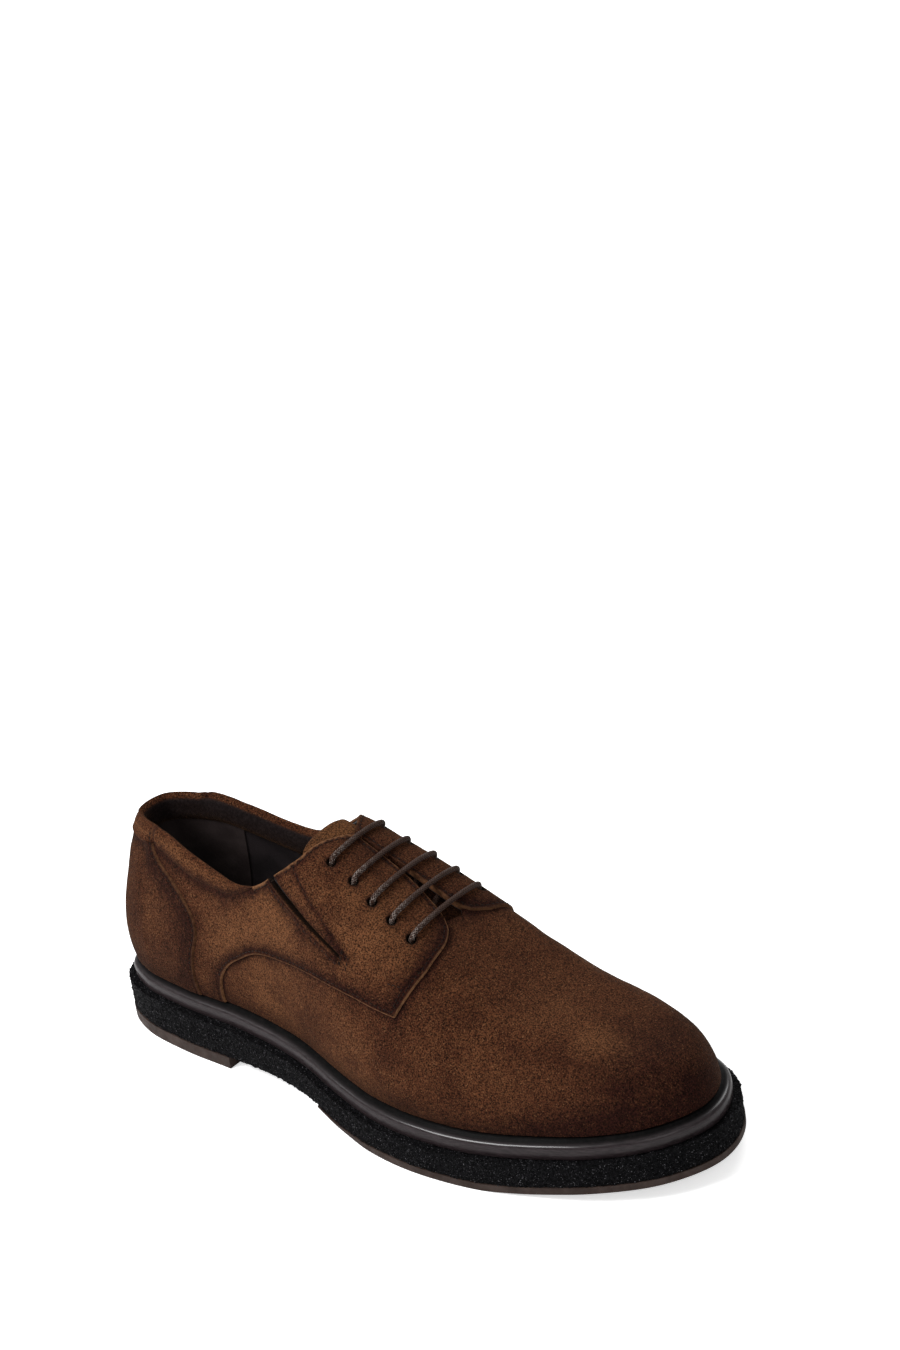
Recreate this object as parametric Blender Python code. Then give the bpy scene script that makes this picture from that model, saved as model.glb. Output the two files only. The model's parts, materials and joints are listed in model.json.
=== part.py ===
"""Right lace-up shoe: a suede derby upper on a glued welt, crepe midsole, thin outsole and heel lift.

Lengths are in metres, X runs to the toe, Y to the inner side of the foot and Z up. The origin is on the
floor at the middle of the heel. Every piece of the upper is cut from one last surface.
"""

import bpy
import bmesh
import numpy as np
from mathutils import Vector
from mathutils.geometry import delaunay_2d_cdt

for thing in list(bpy.data.objects):
    bpy.data.objects.remove(thing, do_unlink=True)

# Sole sizes
SOLE_LENGTH = 0.304
BALL_WIDTH = 0.108
HEEL_CENTRE = 0.038
HEEL_STACK = 0.020
LIFT_THICKNESS = 0.0053
LIFT_LENGTH = 0.075
OUTSOLE_THICKNESS = 0.0030
OUTSOLE_EDGE = 0.0006
OUTSOLE_START = 0.134
OUTSOLE_FULL = 0.177
WELT_HEIGHT = 0.0060
WELT_INSET = 0.0038
WELT_SLOPE_RISE = 0.0019
WELT_INNER = 0.0125
INSOLE_THICKNESS = 0.0035
INSOLE_GAP = 0.0016
CLEARANCE = 0.0003

# Upper sizes
LAST_HEIGHT = 0.1145
FEATHER_INSET = 0.0076
WALL = 0.0024
QUARTER_STEP = 0.0012
COLLAR_STEP = 0.0018
COUNTER_STEP = 0.0020
TONGUE_THICKNESS = 0.0022
GORE_THICKNESS = 0.0012
GORE_WIDTH = 0.0100
NOSE_LENGTH = 0.0020
SLIT_WIDTH = 0.0014
EYELET_DIAMETER = 0.0042
LACE_DIAMETER = 0.0024

# Small sizes of the welt and crepe
WELT_CORNER = 0.0013
WELT_CORNER_CUT = 0.0004
CREPE_BELLY = 0.3

# Looks: linear red, green and blue, and roughness
CRUMB_RUBBER = ((0.012, 0.012, 0.013), 0.9)
BROWN_RUBBER = ((0.045, 0.026, 0.018), 0.6)
WELT_LEATHER = ((0.020, 0.016, 0.014), 0.25)
SOCK_LEATHER = ((0.050, 0.050, 0.040), 0.8)
SUEDE = ((0.095, 0.045, 0.020), 0.85)
TONGUE_SUEDE = ((0.085, 0.042, 0.020), 0.85)
ELASTIC = ((0.010, 0.010, 0.010), 0.8)
WAXED_CORD = ((0.030, 0.018, 0.012), 0.45)

# Where the lace's path has points between two eyelets, as shares of the way
UNDER_SHARES = (0.2, 0.5, 0.8)
OVER_SHARES = (0.04, 0.2, 0.4, 0.6, 0.8, 0.96)

# Outline of the sole from the heel's back, outer side first.
# along: share of SOLE_LENGTH. across: share of half the BALL_WIDTH, below 0 on the outer side
OUTLINE = (
    (0.000, 0.000),
    (0.015, -0.348),
    (0.067, -0.533),
    (0.153, -0.622),
    (0.264, -0.656),
    (0.375, -0.737),
    (0.490, -0.920),
    (0.604, -1.037),
    (0.702, -1.022),
    (0.801, -0.907),
    (0.890, -0.730),
    (0.961, -0.448),
    (1.000, -0.056),
    (0.995, 0.280),
    (0.954, 0.613),
    (0.863, 0.850),
    (0.757, 0.956),
    (0.658, 0.928),
    (0.543, 0.770),
    (0.428, 0.631),
    (0.313, 0.615),
    (0.197, 0.630),
    (0.082, 0.555),
    (0.018, 0.339),
)

# Top of the crepe. along: share of SOLE_LENGTH. height: share of HEEL_STACK
CREPE_TOP = (
    (0.000, 1.000),
    (0.250, 0.995),
    (0.430, 0.865),
    (0.560, 0.665),
    (0.710, 0.685),
    (0.855, 0.855),
    (1.000, 1.060),
)

# Underside of the outsole, with its flat tread and the toe spring. Columns as above
TREAD = (
    (0.440, 0.285),
    (0.500, 0.100),
    (0.553, 0.000),
    (0.730, 0.000),
    (0.790, 0.065),
    (0.855, 0.180),
    (0.930, 0.285),
    (1.000, 0.350),
)
WAIST_ALONG = 0.350
WAIST_HEIGHT = 0.325

# Middle line of the last. along: share of SOLE_LENGTH. across: share of half the BALL_WIDTH
SPINE = ((0.112, 0.020), (0.296, 0.035), (0.493, 0.055), (0.658, 0.074), (0.822, 0.083))

# Ridge of the closed last over the middle line. height: share of LAST_HEIGHT
RIDGE = (
    (0.112, 0.961),
    (0.197, 0.996),
    (0.329, 1.000),
    (0.428, 0.963),
    (0.493, 0.893),
    (0.559, 0.808),
    (0.625, 0.709),
    (0.691, 0.607),
    (0.757, 0.537),
    (0.822, 0.496),
)

# Sections of the last. way: share of the way from heel back to toe tip along the feather edge.
# bulge, wall, shoulder and crown: width at four heights, as shares of the width at the feather edge
SECTIONS = (
    (0.00, 1.15, 0.70, 0.66, 0.48),
    (0.10, 1.15, 0.72, 0.61, 0.46),
    (0.22, 1.14, 0.86, 0.65, 0.46),
    (0.35, 1.12, 0.97, 0.72, 0.47),
    (0.48, 1.10, 0.95, 0.70, 0.46),
    (0.60, 1.075, 0.90, 0.63, 0.44),
    (0.72, 1.045, 0.87, 0.58, 0.42),
    (0.84, 1.005, 0.875, 0.67, 0.40),
    (1.00, 0.985, 0.89, 0.70, 0.40),
)
SECTION_HEIGHTS = (0.22, 0.60, 0.92, 1.00)
SHOULDER_LIFT = 0.6

# Seams from the side. along: share of SOLE_LENGTH. height: share of LAST_HEIGHT
TOPLINE = (
    (0.020, 0.836),
    (0.066, 0.848),
    (0.132, 0.850),
    (0.197, 0.812),
    (0.247, 0.783),
    (0.290, 0.768),
    (0.329, 0.788),
    (0.362, 0.838),
    (0.395, 0.900),
    (0.425, 0.958),
)
COLLAR_SEAM = (
    (0.1125, 0.797),
    (0.136, 0.772),
    (0.170, 0.748),
    (0.228, 0.715),
    (0.270, 0.715),
    (0.301, 0.738),
    (0.335, 0.790),
    (0.360, 0.850),
)
COUNTER_SEAM = (
    (0.131, 0.885),
    (0.124, 0.825),
    (0.123, 0.780),
    (0.134, 0.735),
    (0.168, 0.678),
    (0.204, 0.590),
    (0.211, 0.548),
    (0.209, 0.497),
    (0.201, 0.437),
    (0.194, 0.335),
    (0.197, 0.200),
)
QUARTER_CORNER = ((0.629, 0.672), (0.617, 0.607), (0.603, 0.531))
QUARTER_LOW_SEAM = (
    (0.603, 0.531),
    (0.566, 0.548),
    (0.530, 0.564),
    (0.454, 0.577),
    (0.389, 0.562),
    (0.345, 0.548),
    (0.322, 0.528),
    (0.298, 0.491),
    (0.270, 0.440),
    (0.249, 0.370),
    (0.240, 0.280),
    (0.240, 0.200),
)
SLIT = ((0.362, 0.862), (0.390, 0.815), (0.507, 0.683))

# Edges seen from above, from the top of the throat forward. along: share of SOLE_LENGTH.
# outer and inner: share of half the BALL_WIDTH
FACING = (
    (0.445, 0.022, 0.037),
    (0.484, 0.018, 0.041),
    (0.520, 0.008, 0.054),
    (0.552, -0.016, 0.066),
    (0.576, -0.044, 0.076),
    (0.592, -0.065, 0.085),
    (0.604, -0.096, 0.104),
)
QUARTER_FRONT = (
    (0.611, -0.120, 0.130),
    (0.619, -0.172, 0.200),
    (0.628, -0.300, 0.320),
)

# Eyelets. along: share of SOLE_LENGTH. outer and inner: share of half the BALL_WIDTH
EYELETS = (
    (0.454, -0.300, 0.278),
    (0.492, -0.322, 0.300),
    (0.527, -0.368, 0.346),
    (0.560, -0.389, 0.367),
    (0.592, -0.404, 0.381),
)

# Tongue. along: share of SOLE_LENGTH. width: half width over the curve, as a share of half the BALL_WIDTH.
# depth: how far it lies below its highest level, in lace diameters
TONGUE = (
    (0.398, 0.300, 0.10),
    (0.406, 0.440, 0.15),
    (0.425, 0.500, 0.35),
    (0.460, 0.510, 0.90),
    (0.540, 0.490, 1.00),
    (0.610, 0.450, 1.00),
    (0.660, 0.400, 0.60),
)

# How finely the surfaces are cut
SIDE_STATIONS = 34
PATTERN_STEP = 0.0080
SEAM_STEP = 0.0050
LACE_STEP = 0.0021
NEAR = 0.0002
DENSE = 720


def smooth(table, x, column=1):
    """A curve without overshoot through two columns of a table."""
    xs = np.array([row[0] for row in table], float)
    ys = np.array([row[column] for row in table], float)
    gap = np.diff(xs)
    rise = np.diff(ys) / gap
    slope = np.zeros(len(xs))
    slope[0], slope[-1] = rise[0], rise[-1]
    for i in range(1, len(xs) - 1):
        if rise[i - 1] * rise[i] > 0:
            before, after = 2 * gap[i] + gap[i - 1], gap[i] + 2 * gap[i - 1]
            slope[i] = (before + after) / (before / rise[i - 1] + after / rise[i])
    x = np.clip(x, xs[0], xs[-1])
    i = np.clip(np.searchsorted(xs, x) - 1, 0, len(gap) - 1)
    t = (x - xs[i]) / gap[i]
    value = (1 + 2 * t) * (1 - t) ** 2 * ys[i] + t * (1 - t) ** 2 * gap[i] * slope[i]
    return value + t * t * (3 - 2 * t) * ys[i + 1] + t * t * (t - 1) * gap[i] * slope[i + 1]


def even(points, step, closed=False):
    """A round curve through points, cut into even steps."""
    points = np.asarray(points, float)
    if closed:
        points = np.vstack([points[-1:], points, points[:2]])
    else:
        points = np.vstack([2 * points[0] - points[1], points, 2 * points[-1] - points[-2]])
    curve = []
    for a, b, c, d in zip(points, points[1:], points[2:], points[3:]):
        knots = np.cumsum([0.0] + [np.linalg.norm(q - p) ** 0.5 for p, q in ((a, b), (b, c), (c, d))])
        t = np.linspace(knots[1], knots[2], 24, endpoint=False)[:, None]
        level = [a, b, c, d]
        for reach in (1, 2, 3):
            last = 3 - reach
            raised = []
            for k in range(last + 1):
                low = max(k, 1) if reach == 3 else k
                start, stop = (knots[1], knots[2]) if reach == 3 else (knots[low], knots[low + reach])
                raised.append(((stop - t) * level[k] + (t - start) * level[k + 1]) / (stop - start))
            level = raised
        curve.append(level[0])
    curve = np.vstack(curve + [points[-2:-1]])
    run = np.r_[0, np.cumsum(np.linalg.norm(np.diff(curve, axis=0), axis=1))]
    count = max(2, round(run[-1] / step))
    stops = np.linspace(0, run[-1], count + 1)
    found = np.stack([np.interp(stops, run, side) for side in curve.T], 1)
    return found[:-1] if closed else found


def outline(inset=0.0):
    """The sole's outline as a dense loop that starts at the heel's back and takes the outer side first."""
    loop = np.array(OUTLINE) * (SOLE_LENGTH, BALL_WIDTH / 2)
    loop = even(loop, 3 * SOLE_LENGTH / DENSE, closed=True)
    way = np.roll(loop, -1, 0) - np.roll(loop, 1, 0)
    way /= np.hypot(*way.T)[:, None]
    loop = loop + inset * np.stack([-way[:, 1], way[:, 0]], 1)
    return np.roll(loop, -int(np.argmin(loop[:, 0])), 0)


def stations(inset, start=None, stop=None, count=SIDE_STATIONS):
    """Places along the sole, each with its point on the outer edge and on the inner edge."""
    loop = outline(inset)
    tip = int(np.argmax(loop[:, 0]))
    outer, inner = loop[: tip + 1], np.vstack([loop[tip:], loop[:1]])[::-1]
    low = loop[0, 0] if start is None else start
    high = loop[tip, 0] if stop is None else stop
    share = np.linspace(0, 1, count + 1)
    if start is None and stop is None:
        share = (1 - np.cos(np.pi * share)) / 2
    elif start is None:
        share = 1 - np.cos(np.pi / 2 * share)
    else:
        share = np.sin(np.pi / 2 * share)
    x = low + (high - low) * share
    return np.stack([np.stack([x, np.interp(x, side[:, 0], side[:, 1])], 1) for side in (outer, inner)], 1)


def whole_ring(inset):
    """Stations of the whole outline that fall on the outsole's own in the forepart."""
    rear = stations(inset, stop=OUTSOLE_START, count=SIDE_STATIONS // 2)
    return np.vstack([rear, stations(inset, start=OUTSOLE_START)[1:]])


def crepe_top(x):
    return HEEL_STACK * smooth(CREPE_TOP, x / SOLE_LENGTH)


def tread(x):
    return HEEL_STACK * smooth(TREAD, x / SOLE_LENGTH)


def outsole_top(x):
    share = np.clip((x - OUTSOLE_START) / (OUTSOLE_FULL - OUTSOLE_START), 0, 1)
    share = share * share * (3 - 2 * share)
    return tread(x) + OUTSOLE_EDGE + (OUTSOLE_THICKNESS - OUTSOLE_EDGE) * share


def crepe_foot(x):
    """Underside of the crepe: flat on the lift, arched in the waist, then over the outsole."""
    joint = outsole_top(np.array(OUTSOLE_START)) + CLEARANCE
    waist = (
        (LIFT_LENGTH, LIFT_THICKNESS + CLEARANCE),
        (WAIST_ALONG * SOLE_LENGTH, WAIST_HEIGHT * HEEL_STACK),
        (OUTSOLE_START, float(joint)),
    )
    return np.where(x < OUTSOLE_START, smooth(waist, x), outsole_top(x) + CLEARANCE)


def welt_foot(x):
    return crepe_top(x) + CLEARANCE


def feather(x):
    return welt_foot(x) + WELT_HEIGHT + WELT_SLOPE_RISE + CLEARANCE


def level(pairs, height):
    """Lifts a ring of station pairs to a height that is a function of x."""
    return np.concatenate([pairs, height(pairs[..., 0])[..., None]], -1)


def finish(name, mesh, look):
    """Turns a bmesh into a named object with its own material, in the shoe's own frame."""
    bmesh.ops.remove_doubles(mesh, verts=mesh.verts, dist=1e-6)
    bmesh.ops.dissolve_degenerate(mesh, edges=mesh.edges, dist=1e-6)
    bmesh.ops.translate(mesh, verts=mesh.verts, vec=(-HEEL_CENTRE, 0, 0))
    bmesh.ops.triangulate(mesh, faces=mesh.faces)
    bmesh.ops.recalc_face_normals(mesh, faces=mesh.faces)
    data = bpy.data.meshes.new(name)
    mesh.to_mesh(data)
    mesh.free()
    data.shade_smooth()
    data.set_sharp_from_angle(angle=np.radians(35))
    thing = bpy.data.objects.new(name, data)
    parts.objects.link(thing)
    paint(thing, look)
    return thing


def paint(thing, look):
    material = bpy.data.materials.new(thing.name)
    material.use_nodes = True
    shader = material.node_tree.nodes["Principled BSDF"]
    shader.inputs["Base Color"].default_value = (*look[0], 1)
    shader.inputs["Roughness"].default_value = look[1]
    thing.data.materials.append(material)


def loft(name, rings, look, hollow=False):
    """Joins rings of station pairs. A hollow loft joins its last ring to its first and has no ends."""
    mesh = bmesh.new()
    loops = []
    for ring in rings:
        loop = np.vstack([ring[:, 0], ring[::-1, 1]])
        loops.append([mesh.verts.new(point) for point in loop])
    count = len(loops[0])
    follow = loops[1:] + loops[:1] if hollow else loops[1:]
    for low, high in zip(loops, follow):
        for i in range(count):
            j = (i + 1) % count
            mesh.faces.new((low[i], low[j], high[j], high[i]))
    if not hollow:
        for loop in (loops[0], loops[-1]):
            for i in range(count // 2 - 1):
                mesh.faces.new((loop[i], loop[i + 1], loop[count - 2 - i], loop[count - 1 - i]))
    return finish(name, mesh, look)


class Last:
    """The surface of the last: u runs round the feather edge, v from the feather edge up to the ridge."""

    def __init__(self):
        self.edge = outline(FEATHER_INSET)
        self.tip = int(np.argmax(self.edge[:, 0]))
        step = np.hypot(*np.diff(np.vstack([self.edge, self.edge[:1]]), axis=0).T)
        run = np.r_[0, np.cumsum(step)]
        after = np.arange(len(self.edge)) > self.tip
        back_again = (run[-1] - run[:-1]) / (run[-1] - run[self.tip])
        self.way = np.where(after, back_again, run[:-1] / run[self.tip])
        self.heel = SPINE[0][0] * SOLE_LENGTH
        self.toe = SPINE[-1][0] * SOLE_LENGTH
        self.rows = np.linspace(0, 1, 97)
        u, v = np.meshgrid(np.arange(len(self.edge)) / len(self.edge), self.rows, indexing="ij")
        self.grid = self.point(u, v)
        self.girth = np.zeros(self.grid.shape[:2])
        steps = np.linalg.norm(np.diff(self.grid, axis=1), axis=2)
        self.girth[:, :-1] = np.cumsum(steps[:, ::-1], axis=1)[:, ::-1]
        self.base, self.ray = self.column(u[:, 0])[:2]

    def spine(self, x):
        return BALL_WIDTH / 2 * smooth(SPINE, x / SOLE_LENGTH)

    def ridge(self, x):
        return LAST_HEIGHT * smooth(RIDGE, x / SOLE_LENGTH)

    def column(self, u):
        """Foot of a column on the middle line, its direction, its reach and its share of the way forward."""
        place = (np.asarray(u, float) % 1.0) * len(self.edge)
        i = place.astype(int) % len(self.edge)
        j = (i + 1) % len(self.edge)
        t = (place - np.floor(place))[..., None]
        foot = self.edge[i] * (1 - t) + self.edge[j] * t
        way = self.way[i] * (1 - t[..., 0]) + self.way[j] * t[..., 0]
        x = np.clip(foot[..., 0], self.heel, self.toe)
        base = np.stack([x, self.spine(x)], -1)
        ray = foot - base
        reach = np.hypot(ray[..., 0], ray[..., 1])
        return base, ray / reach[..., None], reach, way, foot

    def point(self, u, v):
        u, v = np.broadcast_arrays(np.asarray(u, float), np.asarray(v, float))
        base, ray, reach, way, foot = self.column(u)
        low = feather(foot[..., 0])
        high = self.ridge(base[..., 0])
        nudge = 0.001
        slope = (self.ridge(base[..., 0] + nudge) - self.ridge(base[..., 0] - nudge)) / (2 * nudge)
        end = self.toe - 2 * nudge
        slope = np.where(base[..., 0] > end, (self.ridge(end) - self.ridge(end - nudge)) / nudge, slope)
        lean = slope * ray[..., 0] * reach
        bulge, wall, shoulder, crown = (smooth(SECTIONS, way, k) for k in (1, 2, 3, 4))
        h1, h2, h3, h4 = SECTION_HEIGHTS
        across = (1 + 0 * way, bulge, wall, shoulder, crown, 0 * way)
        up = (0, h1, h2, h3, h4, 1)
        lift = (0, 0, 0, SHOULDER_LIFT * shoulder, crown, 0)
        shares = spline_shares(v)
        wide = sum(s * a for s, a in zip(shares, across)) * reach
        tall = sum(s * (low + h * (high - low) + k * lean) for s, h, k in zip(shares, up, lift))
        return np.stack([base[..., 0] + ray[..., 0] * wide, base[..., 1] + ray[..., 1] * wide, tall], -1)

    def find_column(self, at, side):
        """u of the column whose foot is at x = at, on side -1 (outer) or +1 (inner)."""
        count = len(self.edge)
        if side < 0:
            return np.interp(at, self.edge[: self.tip + 1, 0], np.arange(self.tip + 1)) / count
        inner = np.vstack([self.edge[self.tip :], self.edge[:1]])
        return np.interp(at, inner[::-1, 0], np.arange(count, self.tip - 1, -1)) / count

    def to_pattern(self, u, v):
        """Flat pattern place of a surface place: its distance over the surface from the ridge."""
        base, ray = self.column(u)[:2]
        i = np.round(np.asarray(u) % 1.0 * len(self.edge)).astype(int) % len(self.edge)
        girth = np.array([np.interp(b, self.rows, self.girth[a]) for a, b in zip(i.ravel(), v.ravel())])
        girth = girth.reshape(np.shape(v))
        return np.stack([base[..., 0] + ray[..., 0] * girth, ray[..., 1] * girth], -1)

    def from_pattern(self, flat):
        """Surface place (u, v) of points of the flat pattern."""
        x = np.clip(flat[:, 0], self.heel, self.toe)
        away = flat - np.stack([x, np.zeros(len(x))], 1)
        girth = np.hypot(*away.T)
        angle = np.arctan2(self.ray[:, 1], self.ray[:, 0])
        own = np.arctan2(away[:, 1], away[:, 0])
        u = np.zeros(len(flat))
        for side in (-1, 1):
            mine = (away[:, 1] < 0) if side < 0 else (away[:, 1] >= 0)
            u[mine] = self.find_column(x[mine], side)
        for fan, end in ((away[:, 0] < -1e-9, self.heel), (away[:, 0] > 1e-9, self.toe)):
            if not fan.any():
                continue
            near = np.where(self.base[:, 0] == end)[0]
            if end == self.heel:
                turn = np.where(angle[near] > 0, angle[near] - 2 * np.pi, angle[near])
                mine = np.where(own[fan] > 0, own[fan] - 2 * np.pi, own[fan])
                near = np.where(near > len(self.edge) / 2, near - len(self.edge), near)
            else:
                turn, mine = angle[near], own[fan]
            order = np.argsort(turn)
            u[fan] = np.interp(mine, turn[order], near[order]) / len(self.edge) % 1.0
        i = np.round(u * len(self.edge)).astype(int) % len(self.edge)
        v = np.array([np.interp(-g, -self.girth[k], self.rows) for g, k in zip(girth, i)])
        return u, v

    def normal(self, u, v):
        step = 0.002
        run = self.point(u + step, v) - self.point(u - step, v)
        rise = self.point(u, np.clip(v + step, 0, 1)) - self.point(u, np.clip(v - step, 0, 1))
        out = np.cross(run, rise)
        out /= np.linalg.norm(out, axis=-1)[..., None] + 1e-12
        return out

    def off(self, flat, lift):
        """Points above pattern places, off the surface by lift."""
        u, v = self.from_pattern(flat)
        out = self.normal(u, np.minimum(v, 0.985))
        flatten = np.clip(v / 0.08, 0, 1)
        out[:, 2] *= flatten * flatten * (3 - 2 * flatten)
        out /= np.linalg.norm(out, axis=1)[:, None]
        return self.point(u, v) + out * np.reshape(lift, (-1, 1))

    def by_height(self, table, side, step=SEAM_STEP):
        """Pattern line of a seam given from the side."""
        flat = []
        for along, height in even(np.array(table) * (SOLE_LENGTH, LAST_HEIGHT), step):
            u = float(self.find_column(max(along, self.heel), side))
            path = self.point(np.full(len(self.rows), u), self.rows)
            if height > path[0, 2]:
                v = np.interp(height, np.maximum.accumulate(path[:, 2]), self.rows)
                flat.append(self.to_pattern(np.array([u]), np.array([v]))[0])
        return clean(flat)

    def by_width(self, table, side, step=SEAM_STEP):
        """Pattern line of an edge given from above."""
        column = 1 if side < 0 else 2
        rows = [(row[0] * SOLE_LENGTH, row[column] * BALL_WIDTH / 2) for row in table]
        return clean([self.above(along, across) for along, across in even(rows, step)])

    def above(self, along, across):
        """Pattern place of the point seen at (along, across) from above."""
        side = -1 if across < self.spine(along) else 1
        u = float(self.find_column(along, side))
        path = self.point(np.full(len(self.rows), u), self.rows)
        reach = np.maximum.accumulate(np.abs(path[::-1, 1] - self.spine(along)))
        v = np.interp(abs(across - self.spine(along)), reach, self.rows[::-1])
        return self.to_pattern(np.array([u]), np.array([v]))[0]

    def round_heel(self, table):
        """Pattern line of a seam that goes round the heel from the outer side to the inner side."""
        flat = []
        last_along = table[-1][0] * SOLE_LENGTH
        outer = float(self.find_column(last_along, -1))
        inner = float(self.find_column(last_along, 1)) - 1
        for u in np.linspace(outer, inner, round(2 * last_along / SEAM_STEP)):
            path = self.point(np.full(len(self.rows), u), self.rows)
            want = LAST_HEIGHT * smooth(table, path[:, 0] / SOLE_LENGTH)
            v = self.rows[int(np.argmax(path[:, 2] >= want))]
            low = max(v - self.rows[1], 0)
            fine = np.linspace(low, v, 9)
            path = self.point(np.full(len(fine), u), fine)
            want = LAST_HEIGHT * smooth(table, path[:, 0] / SOLE_LENGTH)
            v = np.interp(0, path[:, 2] - want, fine)
            flat.append(self.to_pattern(np.array([u]), np.array([v]))[0])
        return np.array(flat)


def clean(flat):
    """Drops points that fall on the one before."""
    kept = [flat[0]]
    for point in flat[1:]:
        if np.hypot(*(point - kept[-1])) > 1e-4:
            kept.append(point)
    return np.array(kept)


def spline_shares(v):
    """Shares of six control points in a clamped cubic curve at v."""
    knots = np.array([0, 0, 0, 0, 1 / 3, 2 / 3, 1, 1, 1, 1])
    v = np.clip(v, 0, 1 - 1e-9)
    shares = [((knots[i] <= v) & (v < knots[i + 1])).astype(float) for i in range(9)]
    for degree in (1, 2, 3):
        raised = []
        for i in range(9 - degree):
            before = knots[i + degree] - knots[i]
            after = knots[i + degree + 1] - knots[i + 1]
            share = 0 * v
            if before > 0:
                share = share + (v - knots[i]) / before * shares[i]
            if after > 0:
                share = share + (knots[i + degree + 1] - v) / after * shares[i + 1]
            raised.append(share)
        shares = raised
    return shares


def inside(polygon, points):
    """Which points lie in a closed polygon."""
    x, y = points[:, 0][:, None], points[:, 1][:, None]
    a, b = polygon, np.roll(polygon, -1, 0)
    rises = (a[None, :, 1] > y) != (b[None, :, 1] > y)
    with np.errstate(divide="ignore", invalid="ignore"):
        cross = a[None, :, 0] + (y - a[None, :, 1]) / (b[None, :, 1] - a[None, :, 1]) * (b - a)[None, :, 0]
    return (rises & (x < cross)).sum(1) % 2 == 1


def sheet(name, last, lines, level_of, over, under, look, step=PATTERN_STEP):
    """A closed wall cut from the last surface.

    lines are pattern lines that the cuts and seams follow, each with whether it is closed. level_of gives
    the step of each pattern place, or nan where there is no wall. over and under give the lift of the
    wall's two faces above the last, before any step.
    """
    points, edges = [], []
    for line, closed in lines:
        start = len(points)
        points += list(line)
        count = len(line)
        edges += [(start + k, start + (k + 1) % count) for k in range(count if closed else count - 1)]
    fixed = np.array(points)
    low, high = fixed.min(0), fixed.max(0)
    for i, x in enumerate(np.arange(low[0], high[0], step)):
        for y in np.arange(low[1] + (i % 2) * step / 2, high[1], step):
            if np.hypot(fixed[:, 0] - x, fixed[:, 1] - y).min() > 0.55 * step:
                points.append(np.array([x, y]))
    found = delaunay_2d_cdt([Vector(p) for p in points], edges, [], 0, NEAR)
    flat = np.array([tuple(p) for p in found[0]])
    triangles = np.array(found[2])
    steps = level_of(flat[triangles].mean(1))
    whole = ~np.isnan(steps)
    kept = [tuple(int(c) for c in t) for t in triangles[whole]]
    tops = [float(z) for z in steps[whole]]
    floor = -1.0
    stacks, borders = {}, {}
    for corners, top in zip(kept, tops):
        for k, corner in enumerate(corners):
            stacks.setdefault(corner, {floor}).add(top)
            ends = (corner, corners[(k + 1) % 3])
            borders.setdefault(tuple(sorted(ends)), []).append(top)
    keys = [(corner, z) for corner in sorted(stacks) for z in sorted(stacks[corner])]
    where = np.array([flat[corner] for corner, z in keys])
    rise = np.array([z for corner, z in keys])
    lift = np.where(rise == floor, under(where), over(where) + rise)
    mesh = bmesh.new()
    vertex = {key: mesh.verts.new(point) for key, point in zip(keys, last.off(where, lift))}
    for (a, b, c), top in zip(kept, tops):
        mesh.faces.new((vertex[a, top], vertex[b, top], vertex[c, top]))
        mesh.faces.new((vertex[c, floor], vertex[b, floor], vertex[a, floor]))
    for (a, b), found_tops in borders.items():
        foot = min(found_tops) if len(found_tops) == 2 else floor
        head = max(found_tops)
        if foot < head:
            up = [vertex[a, z] for z in sorted(stacks[a]) if foot <= z <= head]
            down = [vertex[b, z] for z in sorted(stacks[b], reverse=True) if foot <= z <= head]
            mesh.faces.new(up + down)
    return finish(name, mesh, look)


def ring_of(centre, diameter, count=10):
    """A round hole on the flat pattern."""
    turn = np.linspace(0, 2 * np.pi, count, endpoint=False)
    return centre + diameter / 2 * np.stack([np.cos(turn), np.sin(turn)], 1)


def beside(line, distance):
    """A pattern line moved sideways, to its left going forward."""
    way = np.gradient(line, axis=0)
    way /= np.hypot(*way.T)[:, None]
    return line + distance * np.stack([-way[:, 1], way[:, 0]], 1)


def build_sole():
    """Heel lift, outsole, crepe, welt and insole, from the floor up."""
    flat = lambda x: 0 * x
    lift = stations(0.0, stop=LIFT_LENGTH, count=SIDE_STATIONS // 2)
    loft("heel_lift", [level(lift, flat), level(lift, lambda x: 0 * x + LIFT_THICKNESS)], BROWN_RUBBER)
    front = stations(0.0, start=OUTSOLE_START)
    loft("outsole", [level(front, tread), level(front, outsole_top)], BROWN_RUBBER)
    edge, small = whole_ring(0.0), whole_ring(CLEARANCE * 2)
    middle = level(edge, lambda x: crepe_foot(x) + CREPE_BELLY * (crepe_top(x) - crepe_foot(x)))
    upper = level(edge, lambda x: crepe_top(x) - 3 * CLEARANCE)
    rings = [level(small, crepe_foot), middle, upper, level(small, crepe_top)]
    loft("crepe_midsole", rings, CRUMB_RUBBER)
    profile = (
        (WELT_INSET, 0.0),
        (WELT_INSET, WELT_HEIGHT - WELT_CORNER),
        (WELT_INSET + WELT_CORNER_CUT, WELT_HEIGHT - WELT_CORNER_CUT),
        (WELT_INSET + WELT_CORNER, WELT_HEIGHT),
        (FEATHER_INSET - 2 * CLEARANCE, WELT_HEIGHT + WELT_SLOPE_RISE),
        (WELT_INNER, WELT_HEIGHT + WELT_SLOPE_RISE),
        (WELT_INNER, 0.0),
    )
    rings = []
    for inset, rise in profile:
        rings.append(level(whole_ring(inset), lambda x, rise=rise: welt_foot(x) + rise))
    loft("welt", rings, WELT_LEATHER, hollow=True)
    plug = whole_ring(WELT_INNER + CLEARANCE)
    bed = whole_ring(FEATHER_INSET + WALL + INSOLE_GAP)
    rings = [
        level(plug, welt_foot),
        level(plug, feather),
        level(bed, feather),
        level(bed, lambda x: feather(x) + INSOLE_THICKNESS),
    ]
    loft("insole", rings, SOCK_LEATHER)


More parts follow.
